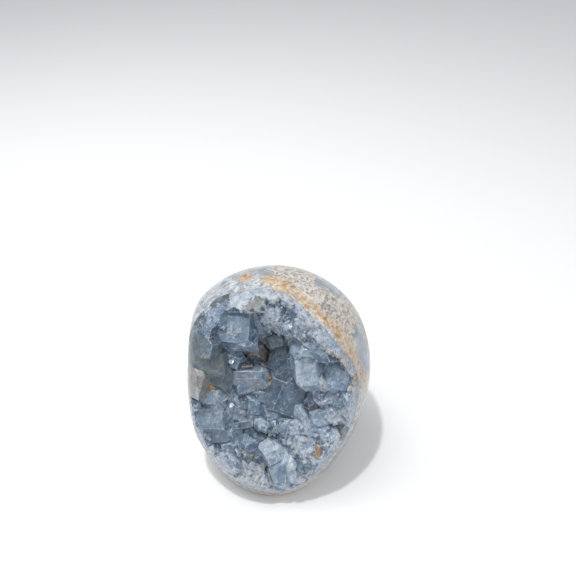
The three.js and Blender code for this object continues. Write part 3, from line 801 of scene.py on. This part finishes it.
# One crystal: a block whose flat top is at the origin, with faces falling to its root
def growCrystal(spec, rng, detailed):
    skirt = crystalShape["skirt"] if detailed else crystalShape["smallSkirt"] * min(spec["size"])
    halves = [side / 2 for side in spec["size"]]
    tops = [half * share for half, share in zip(halves, spec["tip"])]
    bottom = -(spec["rise"] + crystalShape["rootDepth"])
    drawn = [rng.uniform(*spec.get("slopeRange", crystalShape["slopes"])) for _ in range(4)]
    slopes = [math.radians(a) for a in spec.get("slopes", drawn)]
    planes = []
    for k, sign in enumerate((-1, 1)):
        sideways, along = slopes[k], slopes[k + 2]
        planes.append(((sign * tops[0], 0, 0), (sign * math.sin(sideways), 0, math.cos(sideways))))
        planes.append(((0, sign * tops[1], 0), (0, sign * math.sin(along), math.cos(along))))
        if detailed:
            kept = crystalShape["chamfer"]
            planes.append(((sign * halves[0] * kept, sign * halves[1], 0),
                           (sign * halves[1] * (1 - kept), sign * halves[0] * (1 - kept), 0)))
    for _ in range(crystalShape["cornerCuts"] if detailed else 1):
        signX, signY = rng.choice((-1, 1)), rng.choice((-1, 1))
        reach = rng.uniform(*crystalShape["cutReach"])
        acrossX, acrossY = (rng.uniform(*crystalShape["cutAcross"]) for _ in range(2))
        planes.append(((signX * tops[0] * reach, signY * tops[1] * reach, 0),
                       (signX * acrossX, signY * acrossY, rng.uniform(*crystalShape["cutUp"]))))

    bm = bmesh.new()
    bmesh.ops.create_cube(bm, size=1)
    bmesh.ops.scale(
        bm, vec=(2 * (halves[0] + skirt), 2 * (halves[1] + skirt), -bottom), verts=bm.verts)
    bmesh.ops.translate(bm, vec=(0, 0, bottom / 2), verts=bm.verts)
    for place, normal in planes:
        cut = bmesh.ops.bisect_plane(
            bm, geom=bm.verts[:] + bm.edges[:] + bm.faces[:], dist=1e-4,
            plane_co=place, plane_no=normal, clear_outer=True)
        rim = [e for e in cut["geom_cut"] if isinstance(e, bmesh.types.BMEdge)]
        bmesh.ops.holes_fill(bm, edges=rim)
    layers = {name: bm.faces.layers.float.new(name) for name in lookNames + ("bare",)}
    for face in bm.faces:
        for name, layer in layers.items():
            face[layer] = float(spec.get(name, 0))
        tone, milkTone = faceTones["large" if detailed else "small"], faceTones["milk"]
        face[layers["shade"]] = clamp(face[layers["shade"]] + rng.uniform(-tone, tone))
        face[layers["milk"]] = clamp(face[layers["milk"]] + rng.uniform(-milkTone, milkTone))
        # Painted light and shade on small crystals: faces looking up the crystal are made whiter and
        # lighter, its sides clearer and darker, over the real frost at the tips
        if not detailed:
            crown = faceTones["crown" if face.normal.z > faceTones["crownSlope"] else "flank"]
            face[layers["milk"]] = clamp(face[layers["milk"]] * (1 + crown))
            face[layers["shade"]] = clamp(face[layers["shade"]] + crown / 2)
    if detailed:
        bmesh.ops.remove_doubles(bm, verts=bm.verts, dist=crystalShape["weld"])
        # All edges but the root's, which is buried in the bed
        edges = [e for e in bm.edges if max(v.co.z for v in e.verts) > bottom + 0.1]
        worn = bmesh.ops.bevel(
            bm, geom=edges, offset=crystalShape["wornEdge"], offset_type="OFFSET", segments=1,
            profile=0.5, affect="EDGES", clamp_overlap=True, material=-1)
        # The edge faces are painted paler: partly real frosted wear, partly a painted highlight
        # along each edge
        for face in worn["faces"]:
            patch = wobble(
                *face.calc_center_median(), faceTones["wornPatchSize"], seed=spec["rise"])
            wearAndHighlight = faceTones["wornMedium" if "slopeRange" in spec else "wornLarge"]
            wearAndHighlight *= 1 + faceTones["wornPatches"] * patch
            face[layers["milk"]] = clamp(float(spec.get("milk", 0)) + wearAndHighlight)
            face[layers["shade"]] = clamp(float(spec.get("shade", 0)) + wearAndHighlight)
    leanX, leanY = (math.radians(a) for a in spec["lean"])
    stand = Matrix.Translation(spec["foot"]) @ spec.get("stand", Matrix()) @ (
        Matrix.Rotation(-leanY, 4, "X") @ Matrix.Rotation(leanX, 4, "Y")
        @ Matrix.Rotation(math.radians(spec["turn"]), 4, "Z")
        @ Matrix.Translation((0, 0, spec["rise"])))
    bm.transform(stand)
    return bm


# All of these crystals in a collection. One that has a place of its own also draws its cuts
# from it, so that a crystal more or less leaves the others as they are.
def gather(name, specs, rng, detailed):
    collection = bpy.data.collections.new(name)
    scene.collection.children.link(collection)
    for index, spec in enumerate(specs):
        own = random.Random(str(spec["at"])) if "at" in spec else rng
        bm = growCrystal(spec, own, detailed)
        collection.objects.link(objectFrom(bm, f"{name}{index}"))
    return collection


# The part of the face over which crystals are scattered
faceArea = {
    "left": -35,
    "bottom": -45,
    "width": 70,
    "height": 90,
    "above": 60,  # the height from which the crust is probed
}


# Points on a loose grid over the face, row by row
def scatteredPoints(rng, spacing, scatter):
    for row in range(int(faceArea["height"] / spacing)):
        for column in range(int(faceArea["width"] / spacing)):
            x = faceArea["left"] + column * spacing + rng.uniform(-scatter, scatter)
            y = faceArea["bottom"] + row * spacing + rng.uniform(-scatter, scatter)
            yield x, y


def insideMouth(x, y, share):
    return math.hypot(x, y) < share * plainMouthRadius(math.atan2(y, x))


# Medium crystals wherever no large one and no pit already is
mediumFill = {
    "seed": 41,
    "spacing": 2.9,
    "scatter": 1.2,
    "rise": (2, 4.6),
    "size": (2.4, 5.6),
    "lean": (-18, 18),
    "tip": (0.15, 0.75),
    "slopeRange": (24, 52),
    "clear": 1.2,  # how far outside a bare crystal's size they keep, and inside another's
    "pitClear": 1.2,
    "mouthShare": 0.98,  # and within this share of the way to the mouth
}


def onTop(big, x, y, margin):
    along = Vector((x - big["at"][0], y - big["at"][1]))
    along.rotate(Matrix.Rotation(math.radians(-big["turn"]), 2))
    return all(abs(v) < side / 2 + margin for v, side in zip(along, big["size"]))


def fillCrystals():
    rng = random.Random(mediumFill["seed"])
    found = []

    def drawPair(name):
        return rng.uniform(*mediumFill[name]), rng.uniform(*mediumFill[name])

    for x, y in scatteredPoints(rng, mediumFill["spacing"], mediumFill["scatter"]):
        spec = {
            "at": (x, y),
            "foot": (x, y, bedHeightAt(x, y)),
            "rise": rng.uniform(*mediumFill["rise"]) * zoneAt(x, y).get("height", 1),
            "size": drawPair("size"),
            "turn": rng.uniform(-45, 45),
            "lean": drawPair("lean"),
            "tip": drawPair("tip"),
            "slopeRange": mediumFill["slopeRange"],
        }
        spec.update(zoneLook(x, y, rng))
        onLarge = any(
            onTop(big, x, y, mediumFill["clear"] * (1 if big.get("bare") else -1))
            for big in crystals)
        inPit = any(
            math.dist(pit["at"], (x, y)) < pit["radius"] + mediumFill["pitClear"] for pit in pits)
        if insideMouth(x, y, mediumFill["mouthShare"]) and not onLarge and not inPit:
            found.append(spec)
    return found


# How the small crystals look in each region of the face, the first that holds the point.
# A rim runs along the mouth from one angle to another, as deep as its third number says.
# size is how wide they are, and cover how many places one stands on. height is the share of
# their usual rise that the medium crystals keep, and bareShare how many small ones settle on
# a bare crystal. A clear zone stays clear where it is polished, and others turn milky there.
zones = [
    # The block's pale middle: white crumbs, partly a painted highlight
    {"name": "block top", "middle": (-14, 25.4), "reach": (3.6, 2.8), "shade": 0.95,
     "milk": 0.8, "size": (0.6, 1.5), "cover": 0.9, "bareShare": 0.9},
    {"name": "orange spot", "middle": (17.6, -19.4), "reach": (1.9, 2.1), "shade": 1, "milk": 0.9,
     "rust": 0.75, "size": (0.6, 1.3), "cover": 0.9},
    {"name": "dark cavity", "middle": (-4.5, 15.5), "reach": (7, 5.5), "shade": 0.15,
     "milk": 0.05, "smoke": 0.4, "rust": 0.25, "size": (0.7, 1.5), "cover": 0.4},
    {"name": "smoky window", "middle": (-24, 12), "reach": (8, 10), "shade": 0.45, "milk": 0.1,
     "smoke": 0.8, "size": (0.8, 1.6), "cover": 0.1, "clear": True},
    {"name": "brown patch", "middle": (-5, 34.8), "reach": (4, 3), "shade": 0.15,
     "smoke": 0.65, "rust": 0.06, "size": (0.7, 1.5), "cover": 0.6, "clear": True},
    {"name": "iron grains", "middle": (-1.5, 5), "reach": (3, 3), "shade": 0.5,
     "milk": 0.5, "rust": 0.7, "size": (0.7, 1.4), "cover": 0.8},
    {"name": "specked edge", "rim": (-8, 50, 3.6), "shade": 0.6, "milk": 0.6, "rust": 0.2,
     "smoke": 0.15, "grit": 0.9, "size": (0.6, 1.4), "cover": 0.9, "height": 0.5},
    {"name": "upper edge", "rim": (50, 105, 1.6), "shade": 0.95, "milk": 0.9,
     "grit": 0.4, "size": (0.6, 1.4), "cover": 0.9, "height": 0.3},
    {"name": "white ridge", "middle": (-14, 38), "reach": (13, 6), "shade": 0.95, "milk": 0.85,
     "size": (0.7, 1.6), "cover": 0.8},
    {"name": "sugar", "middle": (11, 30), "reach": (16, 12), "shade": 1, "milk": 0.7,
     "size": (0.8, 1.8), "cover": 0.6, "height": 0.3},
    {"name": "frost", "middle": (19, -14), "reach": (14, 13), "shade": 1, "milk": 0.95,
     "size": (0.7, 1.9), "cover": 0.5, "height": 0.75},
    {"name": "cream grains", "middle": (-6, -33), "reach": (10, 6.5), "shade": 1, "milk": 1,
     "grit": 0.4, "size": (0.8, 1.7), "cover": 0.9, "height": 0.3},
    {"name": "pale rim", "rim": (-175, -30, 3.6), "shade": 0.95, "milk": 0.85,
     "size": (0.7, 1.6), "cover": 0.85},
    {"name": "middle", "middle": (0, 0), "reach": (50, 60), "shade": 0.46, "milk": 0.24,
     "smoke": 0.15, "size": (0.9, 2.4), "cover": 0.22},
]


zoneBlend = {
    "edgeLumps": 4,  # a zone's edge wanders in lumps of this size
    "edgeRaggedness": 0.3,
    "spread": 0.13,  # how much its crystals differ
    "stain": 0.75,  # how far the stone's iron stains them
}


def ironStain(x, y):
    return zoneBlend["stain"] * strokeShare(x, y, stoneMarks["iron"])


def zoneAt(x, y):
    angle = math.atan2(y, x)
    fromRim = plainMouthRadius(angle) - math.hypot(x, y)
    ragged = wobble(x, y, 0, zoneBlend["edgeLumps"], seed=11)
    for zone in zones:
        if "rim" in zone:
            start, end, depth = zone["rim"]
            if start < math.degrees(angle) < end and fromRim < depth * (1 + ragged):
                return zone
            continue
        across = (x - zone["middle"][0]) / zone["reach"][0]
        along = (y - zone["middle"][1]) / zone["reach"][1]
        if math.hypot(across, along) < 1 + zoneBlend["edgeRaggedness"] * ragged:
            return zone
    return zones[-1]


def zoneLook(x, y, rng):
    zone = zoneAt(x, y)
    look = {name: clamp(zone[name] + rng.gauss(0, zoneBlend["spread"])) if name in zone else 0
            for name in lookNames}
    look["rust"] = max(look["rust"], ironStain(x, y))
    return look


# The small crystals that dust the larger ones and fill the gaps
druse = {
    "seed": 7,
    "spacing": 1.2,
    "scatter": 0.6,
    "bareShare": 0.005,  # how many of them settle on a bare crystal
    "mouthShare": 0.99,
    "above": 0.3,  # how far over the egg's surface one may still stand
    "upright": 1.2,  # how strongly they turn away from the face they grow on
    "rise": (0.3, 0.7),  # as a share of their width
    "lean": (-28, 28),
    "tip": (0.1, 0.6),
    "slopeRange": (42, 70),
}


def druseCrystals(crust):
    rng = random.Random(druse["seed"])
    tree = BVHTree.FromObject(crust, bpy.context.evaluated_depsgraph_get())
    bare = crust.data.attributes["bare"].data
    down = Vector((0, 0, -1))
    found = []
    for x, y in scatteredPoints(rng, druse["spacing"], druse["scatter"]):
        place, normal, index, _ = tree.ray_cast(Vector((x, y, faceArea["above"])), down)
        draws = [rng.random() for _ in range(8)]
        if place is None or not insideMouth(x, y, druse["mouthShare"]):
            continue
        zone = zoneAt(x, y)
        bareShare = zone.get("bareShare", druse["bareShare"])
        if bare[index].value > 0.5 and draws[0] > bareShare:
            continue
        if place.z > eggHeight(x, y) + druse["above"] or draws[0] > zone["cover"]:
            continue
        toward = (normal + Vector((0, 0, druse["upright"]))).normalized()
        width, breadth = (mix(*zone["size"], draws[k]) for k in (1, 2))
        spec = {
            "foot": place,
            "stand": toward.to_track_quat("Z", "Y").to_matrix().to_4x4(),
            "rise": min(width, breadth) * mix(*druse["rise"], draws[3]),
            "slopeRange": druse["slopeRange"],
            "size": (width, breadth),
            "turn": mix(-45, 45, draws[4]),
            "lean": [mix(*druse["lean"], draws[k]) for k in (5, 6)],
            "tip": [mix(*druse["tip"], draws[k]) for k in (7, 3)],
        }
        spec.update(zoneLook(x, y, rng))
        found.append(spec)
    return found


def makeCelestiteMaterial():
    # Celestite crystal: pale blue and clear where clean, clouded and sugary where etched
    material, tree = newMaterial("celestite crystal")
    place = addNode(tree, "TexCoord").outputs["Object"]
    look = {name: addNode(tree, "Attribute", {"attribute_name": name}).outputs["Fac"]
            for name in lookNames + ("polish",)}

    cloud = addNode(tree, "TexNoise", {"Scale": perMetre / 4, "Detail": 5, "Roughness": 0.6},
                    {"Vector": place})
    frost = addNode(tree, "TexNoise", {"Scale": perMetre / 1.4, "Detail": 5, "Roughness": 0.75},
                    {"Vector": place})
    # Sugary grains: small cells, each with a tone and a tilt of its own
    grains = addNode(tree, "TexVoronoi", {"Scale": perMetre / 1.2}, {"Vector": place})
    grainCentred = addNode(tree, "VectorMath", {"operation": "SUBTRACT", 1: (0.5,) * 3},
                           {0: grains.outputs["Color"]})
    grainOffset = addNode(tree, "VectorMath", {"operation": "SUBTRACT"},
                          {0: place, 1: grains.outputs["Position"]})
    grainTilt = addNode(tree, "VectorMath", {"operation": "DOT_PRODUCT"},
                        {0: grainCentred.outputs["Vector"], 1: grainOffset.outputs["Vector"]})
    grainTone = addNode(tree, "SeparateXYZ", links={"Vector": grainCentred.outputs["Vector"]})
    # Where the crust is polished, each crystal that was cut shows as a patch of its own
    patches = addNode(tree, "TexVoronoi", {"Scale": perMetre / 2.8}, {"Vector": place})
    patchTone = addNode(tree, "SeparateXYZ", links={"Vector": patches.outputs["Color"]})
    patchShift = addNode(tree, "MapRange", {"To Min": -0.25, "To Max": 0.25},
                         {"Value": patchTone.outputs["X"]})

    cloudDrift = addNode(tree, "Math", {"operation": "MULTIPLY_ADD", 1: 0.8, 2: -0.4},
                         {0: cloud.outputs["Fac"]})
    frostDrift = addNode(tree, "Math", {"operation": "MULTIPLY_ADD", 1: 0.7, 2: -0.35},
                         {0: frost.outputs["Fac"]})
    grainDrift = addNode(tree, "Math", {"operation": "MULTIPLY"},
                         {0: look["milk"], 1: grainTone.outputs["X"]})
    patchDrift = addNode(tree, "Math", {"operation": "MULTIPLY"},
                         {0: look["polish"], 1: patchShift.outputs["Result"]})
    shade = look["shade"]
    for drift in (cloudDrift, frostDrift, grainDrift, patchDrift):
        shade = addNode(tree, "Math", {"operation": "ADD"},
                        {0: shade, 1: drift.outputs["Value"]}).outputs["Value"]
    body = addNode(tree, "ValToRGB", links={"Fac": shade}, stops=[
        (0.0, "#2b3d4e"), (1.0, "#e2edf9"), (0.3, "#5d7b94"), (0.6, "#93b0c9")])

    # Milk gathers in clouds and frost, and wispy veils run through clear crystal too
    cloudShare = addNode(tree, "ValToRGB", links={"Fac": cloud.outputs["Fac"]}, stops=[
        (0.35, 0.65), (0.65, 1.25)])
    frostShare = addNode(tree, "ValToRGB", links={"Fac": frost.outputs["Fac"]}, stops=[
        (0.4, 0.35), (0.58, 1.35)])
    milkCloud = addNode(tree, "Math", {"operation": "MULTIPLY"},
                        {0: look["milk"], 1: cloudShare.outputs["Color"]})
    solidMilk = addNode(tree, "MapRange", {"From Min": 0.75, "To Max": 0.3},
                        {"Value": look["milk"]})
    frosted = addNode(tree, "Math", {"operation": "MULTIPLY_ADD", "use_clamp": True},
                      {0: milkCloud.outputs["Value"], 1: frostShare.outputs["Color"],
                       2: solidMilk.outputs["Result"]})
    wisps = addNode(tree, "TexNoise",
                    {"Scale": perMetre / 3, "Detail": 6, "Roughness": 0.65, "Distortion": 1.4},
                    {"Vector": place})
    wispShare = addNode(tree, "ValToRGB", links={"Fac": wisps.outputs["Fac"]}, stops=[
        (0.5, 0.0), (0.64, 0.55)])
    bent = addNode(tree, "VectorMath", {"operation": "MULTIPLY_ADD", 1: (4 / perMetre,) * 3},
                   {0: cloud.outputs["Color"], 2: place})
    cracks = addNode(tree, "TexVoronoi",
                     {"feature": "DISTANCE_TO_EDGE", "Scale": perMetre / 5.5},
                     {"Vector": bent.outputs["Vector"]})
    crackShare = addNode(tree, "ValToRGB", links={"Fac": cracks.outputs["Distance"]}, stops=[
        (0.0, 0.12), (0.05, 0.0)])
    brokenCracks = addNode(tree, "Math", {"operation": "MULTIPLY"},
                           {0: crackShare.outputs["Color"], 1: frostShare.outputs["Color"]})
    veils = addNode(tree, "Math", {"operation": "MAXIMUM"},
                    {0: wispShare.outputs["Color"], 1: brokenCracks.outputs["Value"]})
    unsmoked = addNode(tree, "MapRange", {"To Min": 1, "To Max": 0}, {"Value": look["smoke"]})
    milk = addNode(tree, "Math", {"operation": "MULTIPLY_ADD", "use_clamp": True},
                   {0: veils.outputs["Value"], 1: unsmoked.outputs["Result"],
                    2: frosted.outputs["Value"]})
    milkTone = addNode(tree, "ValToRGB", links={"Fac": grains.outputs["Color"]}, stops=[
        (0.22, "#a2b7d1"), (0.66, "#eff5ff"), (0.45, "#d1e0f3")])
    milky = addNode(tree, "Mix", {"data_type": "RGBA"},
                    {0: milk.outputs["Value"], 6: body.outputs["Color"],
                     7: milkTone.outputs["Color"]})
    # Gritty crystal is crusted with the matrix's cream grains and dark specks
    gritGrains = addNode(tree, "TexVoronoi", {"Scale": perMetre / 0.9}, {"Vector": place})
    gritTone = addNode(tree, "ValToRGB", links={"Fac": gritGrains.outputs["Color"]}, stops=[
        (0.15, "#75695a"), (0.7, "#ffffff"), (0.27, "#d6cec2"), (0.45, "#f6f2ea")])
    gritShare = addNode(tree, "Math", {"operation": "MULTIPLY", "use_clamp": True},
                        {0: look["grit"], 1: frostShare.outputs["Color"]})
    gritty = addNode(tree, "Mix", {"data_type": "RGBA"},
                     {0: gritShare.outputs["Value"], 6: milky.outputs[2],
                      7: gritTone.outputs["Color"]})

    # Smoky crystal is mottled grey-green, rust runs from cream to dark brown
    smokeTone = addNode(tree, "ValToRGB", links={"Fac": wisps.outputs["Fac"]}, stops=[
        (0.3, "#616a68"), (0.7, "#9d9a82"), (0.5, "#7e8681")])
    smoky = addNode(tree, "Mix", {"data_type": "RGBA"},
                    {0: look["smoke"], 6: gritty.outputs[2], 7: smokeTone.outputs["Color"]})
    # Polished milky crystal carries on the frosted mottle of the stone beside it
    mottle = addNode(tree, "TexNoise", mottleNoise, {"Vector": place})
    mottleTone = addNode(tree, "ValToRGB", links={"Fac": mottle.outputs["Fac"]}, stops=[
        (0.36, "#7d8fa2"), (0.6, "#f0f6fd"), (0.45, "#b4c3d3"), (0.52, "#e0e9f3")])
    mottleShare = addNode(tree, "Math", {"operation": "MULTIPLY", "use_clamp": True},
                          {0: look["polish"], 1: frosted.outputs["Value"]})
    mottled = addNode(tree, "Mix", {"data_type": "RGBA"},
                      {0: mottleShare.outputs["Value"], 6: smoky.outputs[2],
                       7: mottleTone.outputs["Color"]})
    rustTone = addNode(tree, "ValToRGB", links={"Fac": frost.outputs["Fac"]}, stops=[
        (0.35, "#7a5a3c"), (0.65, "#ecd0a6"), (0.5, "#cf9f69")])
    solidRust = addNode(tree, "MapRange", {"From Min": 0.7, "To Max": 0.6},
                        {"Value": look["rust"]})
    rustShare = addNode(tree, "Math", {"operation": "MULTIPLY_ADD", "use_clamp": True},
                        {0: look["rust"], 1: frostShare.outputs["Color"],
                         2: solidRust.outputs["Result"]})
    rusty = addNode(tree, "Mix", {"data_type": "RGBA"},
                    {0: rustShare.outputs["Value"], 6: mottled.outputs[2],
                     7: rustTone.outputs["Color"]})

    dull = addNode(tree, "MapRange", {"To Min": 0.13, "To Max": 0.38},
                   {"Value": milk.outputs["Value"]})
    # Grains tilt fully on rough milky faces and hardly on clear or polished ones. Tilts are
    # heights in metres, so that the bumps' distances are plain factors.
    rough = addNode(tree, "MapRange", {"To Min": 0.1, "To Max": 0.6}, {"Value": look["milk"]})
    unpolished = addNode(tree, "MapRange", {"To Min": 1, "To Max": 0.12},
                         {"Value": look["polish"]})
    tiltShare = addNode(tree, "Math", {"operation": "MULTIPLY"},
                        {0: rough.outputs["Result"], 1: unpolished.outputs["Result"]})
    tilted = addNode(tree, "Bump", {"Distance": 1.2},
                     {"Height": grainTilt.outputs["Value"], "Strength": tiltShare.outputs["Value"]})
    # Faces broken by cleavage: broad cells that tilt a little
    chips = addNode(tree, "TexVoronoi", {"Scale": perMetre / 3.2},
                    {"Vector": bent.outputs["Vector"]})
    chipOffset = addNode(tree, "VectorMath", {"operation": "SUBTRACT"},
                         {0: bent.outputs["Vector"], 1: chips.outputs["Position"]})
    chipCentred = addNode(tree, "VectorMath", {"operation": "SUBTRACT", 1: (0.5,) * 3},
                          {0: chips.outputs["Color"]})
    chipTilt = addNode(tree, "VectorMath", {"operation": "DOT_PRODUCT"},
                       {0: chipCentred.outputs["Vector"], 1: chipOffset.outputs["Vector"]})
    chipShare = addNode(tree, "Math", {"operation": "MULTIPLY", 1: 0.13},
                        {0: unpolished.outputs["Result"]})
    chipped = addNode(tree, "Bump", {"Distance": 1},
                      {"Height": chipTilt.outputs["Value"], "Strength": chipShare.outputs["Value"],
                       "Normal": tilted.outputs["Normal"]})
    etchDepth = addNode(tree, "MapRange", {"To Min": 0.3, "To Max": 0.04},
                        {"Value": look["polish"]})
    etched = addNode(tree, "Bump", {"Distance": 0.3 / perMetre},
                     {"Height": wisps.outputs["Fac"], "Strength": etchDepth.outputs["Result"],
                      "Normal": chipped.outputs["Normal"]})
    shader = addNode(tree, "BsdfPrincipled",
                     {"IOR": 1.62, "Transmission Weight": 0.5, "Subsurface Weight": 1,
                      "Subsurface Scale": 1.2 / perMetre, "Subsurface Radius": (1, 0.96, 0.9)},
                     {"Base Color": rusty.outputs[2], "Roughness": dull.outputs["Result"],
                      "Normal": etched.outputs["Normal"]})
    # Light that crosses a clear crystal comes out a little bluer
    depth = addNode(tree, "VolumeAbsorption", {"Color": linear("#c6daf0"), "Density": 16})
    addNode(tree, "OutputMaterial", links={"Surface": shader.outputs["BSDF"],
                                           "Volume": depth.outputs["Volume"]})
    return material


# The look of the crust where it is polished flush with the egg: the crystals that were cut
# through show their own tones, and the rest is milky unless its zone is clear
polishLook = {
    "seed": 5,
    "wander": 1.6,  # how far the edges between them stray
    "wanderSize": 2,
    "cutMargin": 0.6,
    "milk": 0.8,
    "shade": 0.7,
    "spread": 0.12,
}


def paintPolished(mesh):
    layers = {name: mesh.attributes[name].data for name in lookNames}
    polish = mesh.attributes["polish"].data
    rng = random.Random(polishLook["seed"])
    wander, size, spread = (polishLook[name] for name in ("wander", "wanderSize", "spread"))
    for polygon in mesh.polygons:
        if polish[polygon.index].value < 0.5:
            continue
        x, y, _ = polygon.center
        x += wander * wobble(x, y, 0, size, seed=13)
        y += wander * wobble(x, y, 0, size, seed=14)
        cut = [c for c in crystals if onTop(c, x, y, polishLook["cutMargin"])]
        if cut:
            near = min(cut, key=lambda c: c["size"][0] * c["size"][1])
            look = {name: float(near.get(name, 0)) for name in lookNames}
        else:
            zone = zoneAt(x, y)
            look = {name: zone.get(name, 0) for name in lookNames}
            if not zone.get("clear"):
                for name in ("milk", "shade"):
                    look[name] = max(look[name], polishLook[name])
        look["rust"] = max(look["rust"], ironStain(x, y))
        for name, data in layers.items():
            if look[name]:
                data[polygon.index].value = clamp(look[name] + rng.uniform(-spread, spread))
            else:
                data[polygon.index].value = 0


crustLook = {
    "plain": {"shade": 0.45, "milk": 0.4, "smoke": 0.1, "rust": 0.05, "grit": 0, "bare": 0,
              "polish": 0},
    "pitShade": 0.05,
    "crystalSeed": 3,
    "bedSeed": 11,
    "crispAngle": 12,  # degrees between two faces from which their edge stays crisp
}


def makeCrust():
    rng = random.Random(crustLook["crystalSeed"])
    material = makeCelestiteMaterial()
    plain = crustLook["plain"]

    def bedSurface(angle, distance):
        x, y = distance * math.cos(angle), distance * math.sin(angle)
        grain = wobble(x, y, 0, hollowShape["bedGrainSize"], seed=12)
        share = distance / plainMouthRadius(angle)
        fill = hollowShape["bedFill"] * (1 - smooth(hollowShape["bedFillEnd"], 1, share))
        return bedTop(angle, distance) + fill + hollowShape["bedGrain"] * grain

    def bedRadius(angle):
        return plainMouthRadius(angle) + hollowShape["bedOverlap"]

    bed = lens(lambda angle, distance: 0, bedSurface, bedRadius)
    crust = objectFrom(bed, "crystalCrust", material, plain)
    scene.collection.objects.link(crust)
    bedRng = random.Random(crustLook["bedSeed"])
    for polygon in crust.data.polygons:
        look = zoneLook(*polygon.center[:2], bedRng)
        for name in lookNames:
            crust.data.attributes[name].data[polygon.index].value = look[name]
    pitBalls = bpy.data.collections.new("pits")
    scene.collection.children.link(pitBalls)
    for pit in pits:
        # Painted shade: each pit's walls take a nearly black tone
        dark = dict(plain, shade=crustLook["pitShade"], milk=0, rust=pit.get("rust", 0))
        x, y = pit["at"]
        bm = bmesh.new()
        bmesh.ops.create_icosphere(bm, subdivisions=3, radius=pit["radius"])
        bmesh.ops.translate(bm, vec=(x, y, bedHeightAt(x, y)), verts=bm.verts)
        pitBalls.objects.link(objectFrom(bm, "pit", material, dark))
    combine(crust, "DIFFERENCE", pitBalls)
    for spec in crystals:
        # The tip keeps its place on the face while the crystal leans under it
        x, y = spec["at"]
        leanX, leanY = (math.radians(a) for a in spec["lean"])
        axis = Matrix.Rotation(-leanY, 3, "X") @ Matrix.Rotation(leanX, 3, "Y") @ Vector((0, 0, 1))
        spec["foot"] = Vector((x, y, bedHeightAt(x, y) + spec["rise"])) - axis * spec["rise"]
    combine(crust, "UNION", gather("large", crystals, rng, True))
    combine(crust, "UNION", gather("medium", fillCrystals(), rng, True))
    print("large and medium crystals joined", len(crust.data.polygons), "faces")
    small = druseCrystals(crust)
    combine(crust, "UNION", gather("small", small, rng, False))
    print(len(small), "small crystals joined", len(crust.data.polygons), "faces")
    hollow = hollowLens(hollowShape["seam"])
    combine(crust, "INTERSECT", objectFrom(hollow, "hollow", material, plain))
    polished = dict(plain, polish=1)
    egg = eggBall(hollowShape["polishDepth"])
    combine(crust, "INTERSECT", objectFrom(egg, "egg", material, polished))
    paintPolished(crust.data)
    setDown(crust, "root", crustLook["crispAngle"])
    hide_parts("crystal_lining")
    return crust


crust = makeCrust()
print("crust", len(crust.data.polygons), "faces")


# Plain pale floor and soft studio light
studio = {
    "aim": (0, 0, 0.035),  # metres, as all lengths here
    "floorSize": 3,
    "floorColour": "#eaebec",
    "skyTop": "#fcfdff",
    "skyHorizon": "#cacfd8",
    "skyStrength": 0.6,
    "softbox": {"at": (-0.25, 0.10, 0.65), "size": 0.45, "power": 1.95},
    "fill": {"at": (0.35, -0.40, 0.45), "size": 0.9, "power": 1.35},
    "sparkle": {"at": (-0.10, -0.05, 0.7), "size": 0.03, "power": 1.9},
}


def makeStudio():
    bm = bmesh.new()
    bmesh.ops.create_grid(bm, x_segments=1, y_segments=1, size=studio["floorSize"] / 2)
    material, tree = newMaterial("pale paper floor")
    shader = addNode(tree, "BsdfPrincipled",
                     {"Base Color": linear(studio["floorColour"]), "Roughness": 0.8})
    addNode(tree, "OutputMaterial", links={"Surface": shader.outputs["BSDF"]})
    floor = objectFrom(bm, "floor", material)
    scene.collection.objects.link(floor)
    for name in ("softbox", "fill", "sparkle"):
        lamp = bpy.data.lights.new(name, "AREA")
        lamp.size = studio[name]["size"]
        lamp.energy = studio[name]["power"]
        light = bpy.data.objects.new(name, lamp)
        light.location = studio[name]["at"]
        aim = Vector(studio["aim"]) - light.location
        light.rotation_euler = aim.to_track_quat("-Z", "Y").to_euler()
        scene.collection.objects.link(light)
    world = bpy.data.worlds.new("studio")
    world.use_nodes = True
    scene.world = world
    tree = world.node_tree
    tree.nodes.clear()
    direction = addNode(tree, "TexCoord")
    height = addNode(tree, "SeparateXYZ", links={"Vector": direction.outputs["Generated"]})
    sky = addNode(tree, "ValToRGB", links={"Fac": height.outputs["Z"]}, stops=[
        (0.0, studio["skyHorizon"]), (0.7, studio["skyTop"])])
    glow = addNode(tree, "Background", {"Strength": studio["skyStrength"]},
                   {"Color": sky.outputs["Color"]})
    addNode(tree, "OutputWorld", links={"Surface": glow.outputs["Background"]})


makeStudio()
scene.view_settings.view_transform = "Standard"
print("studio set")
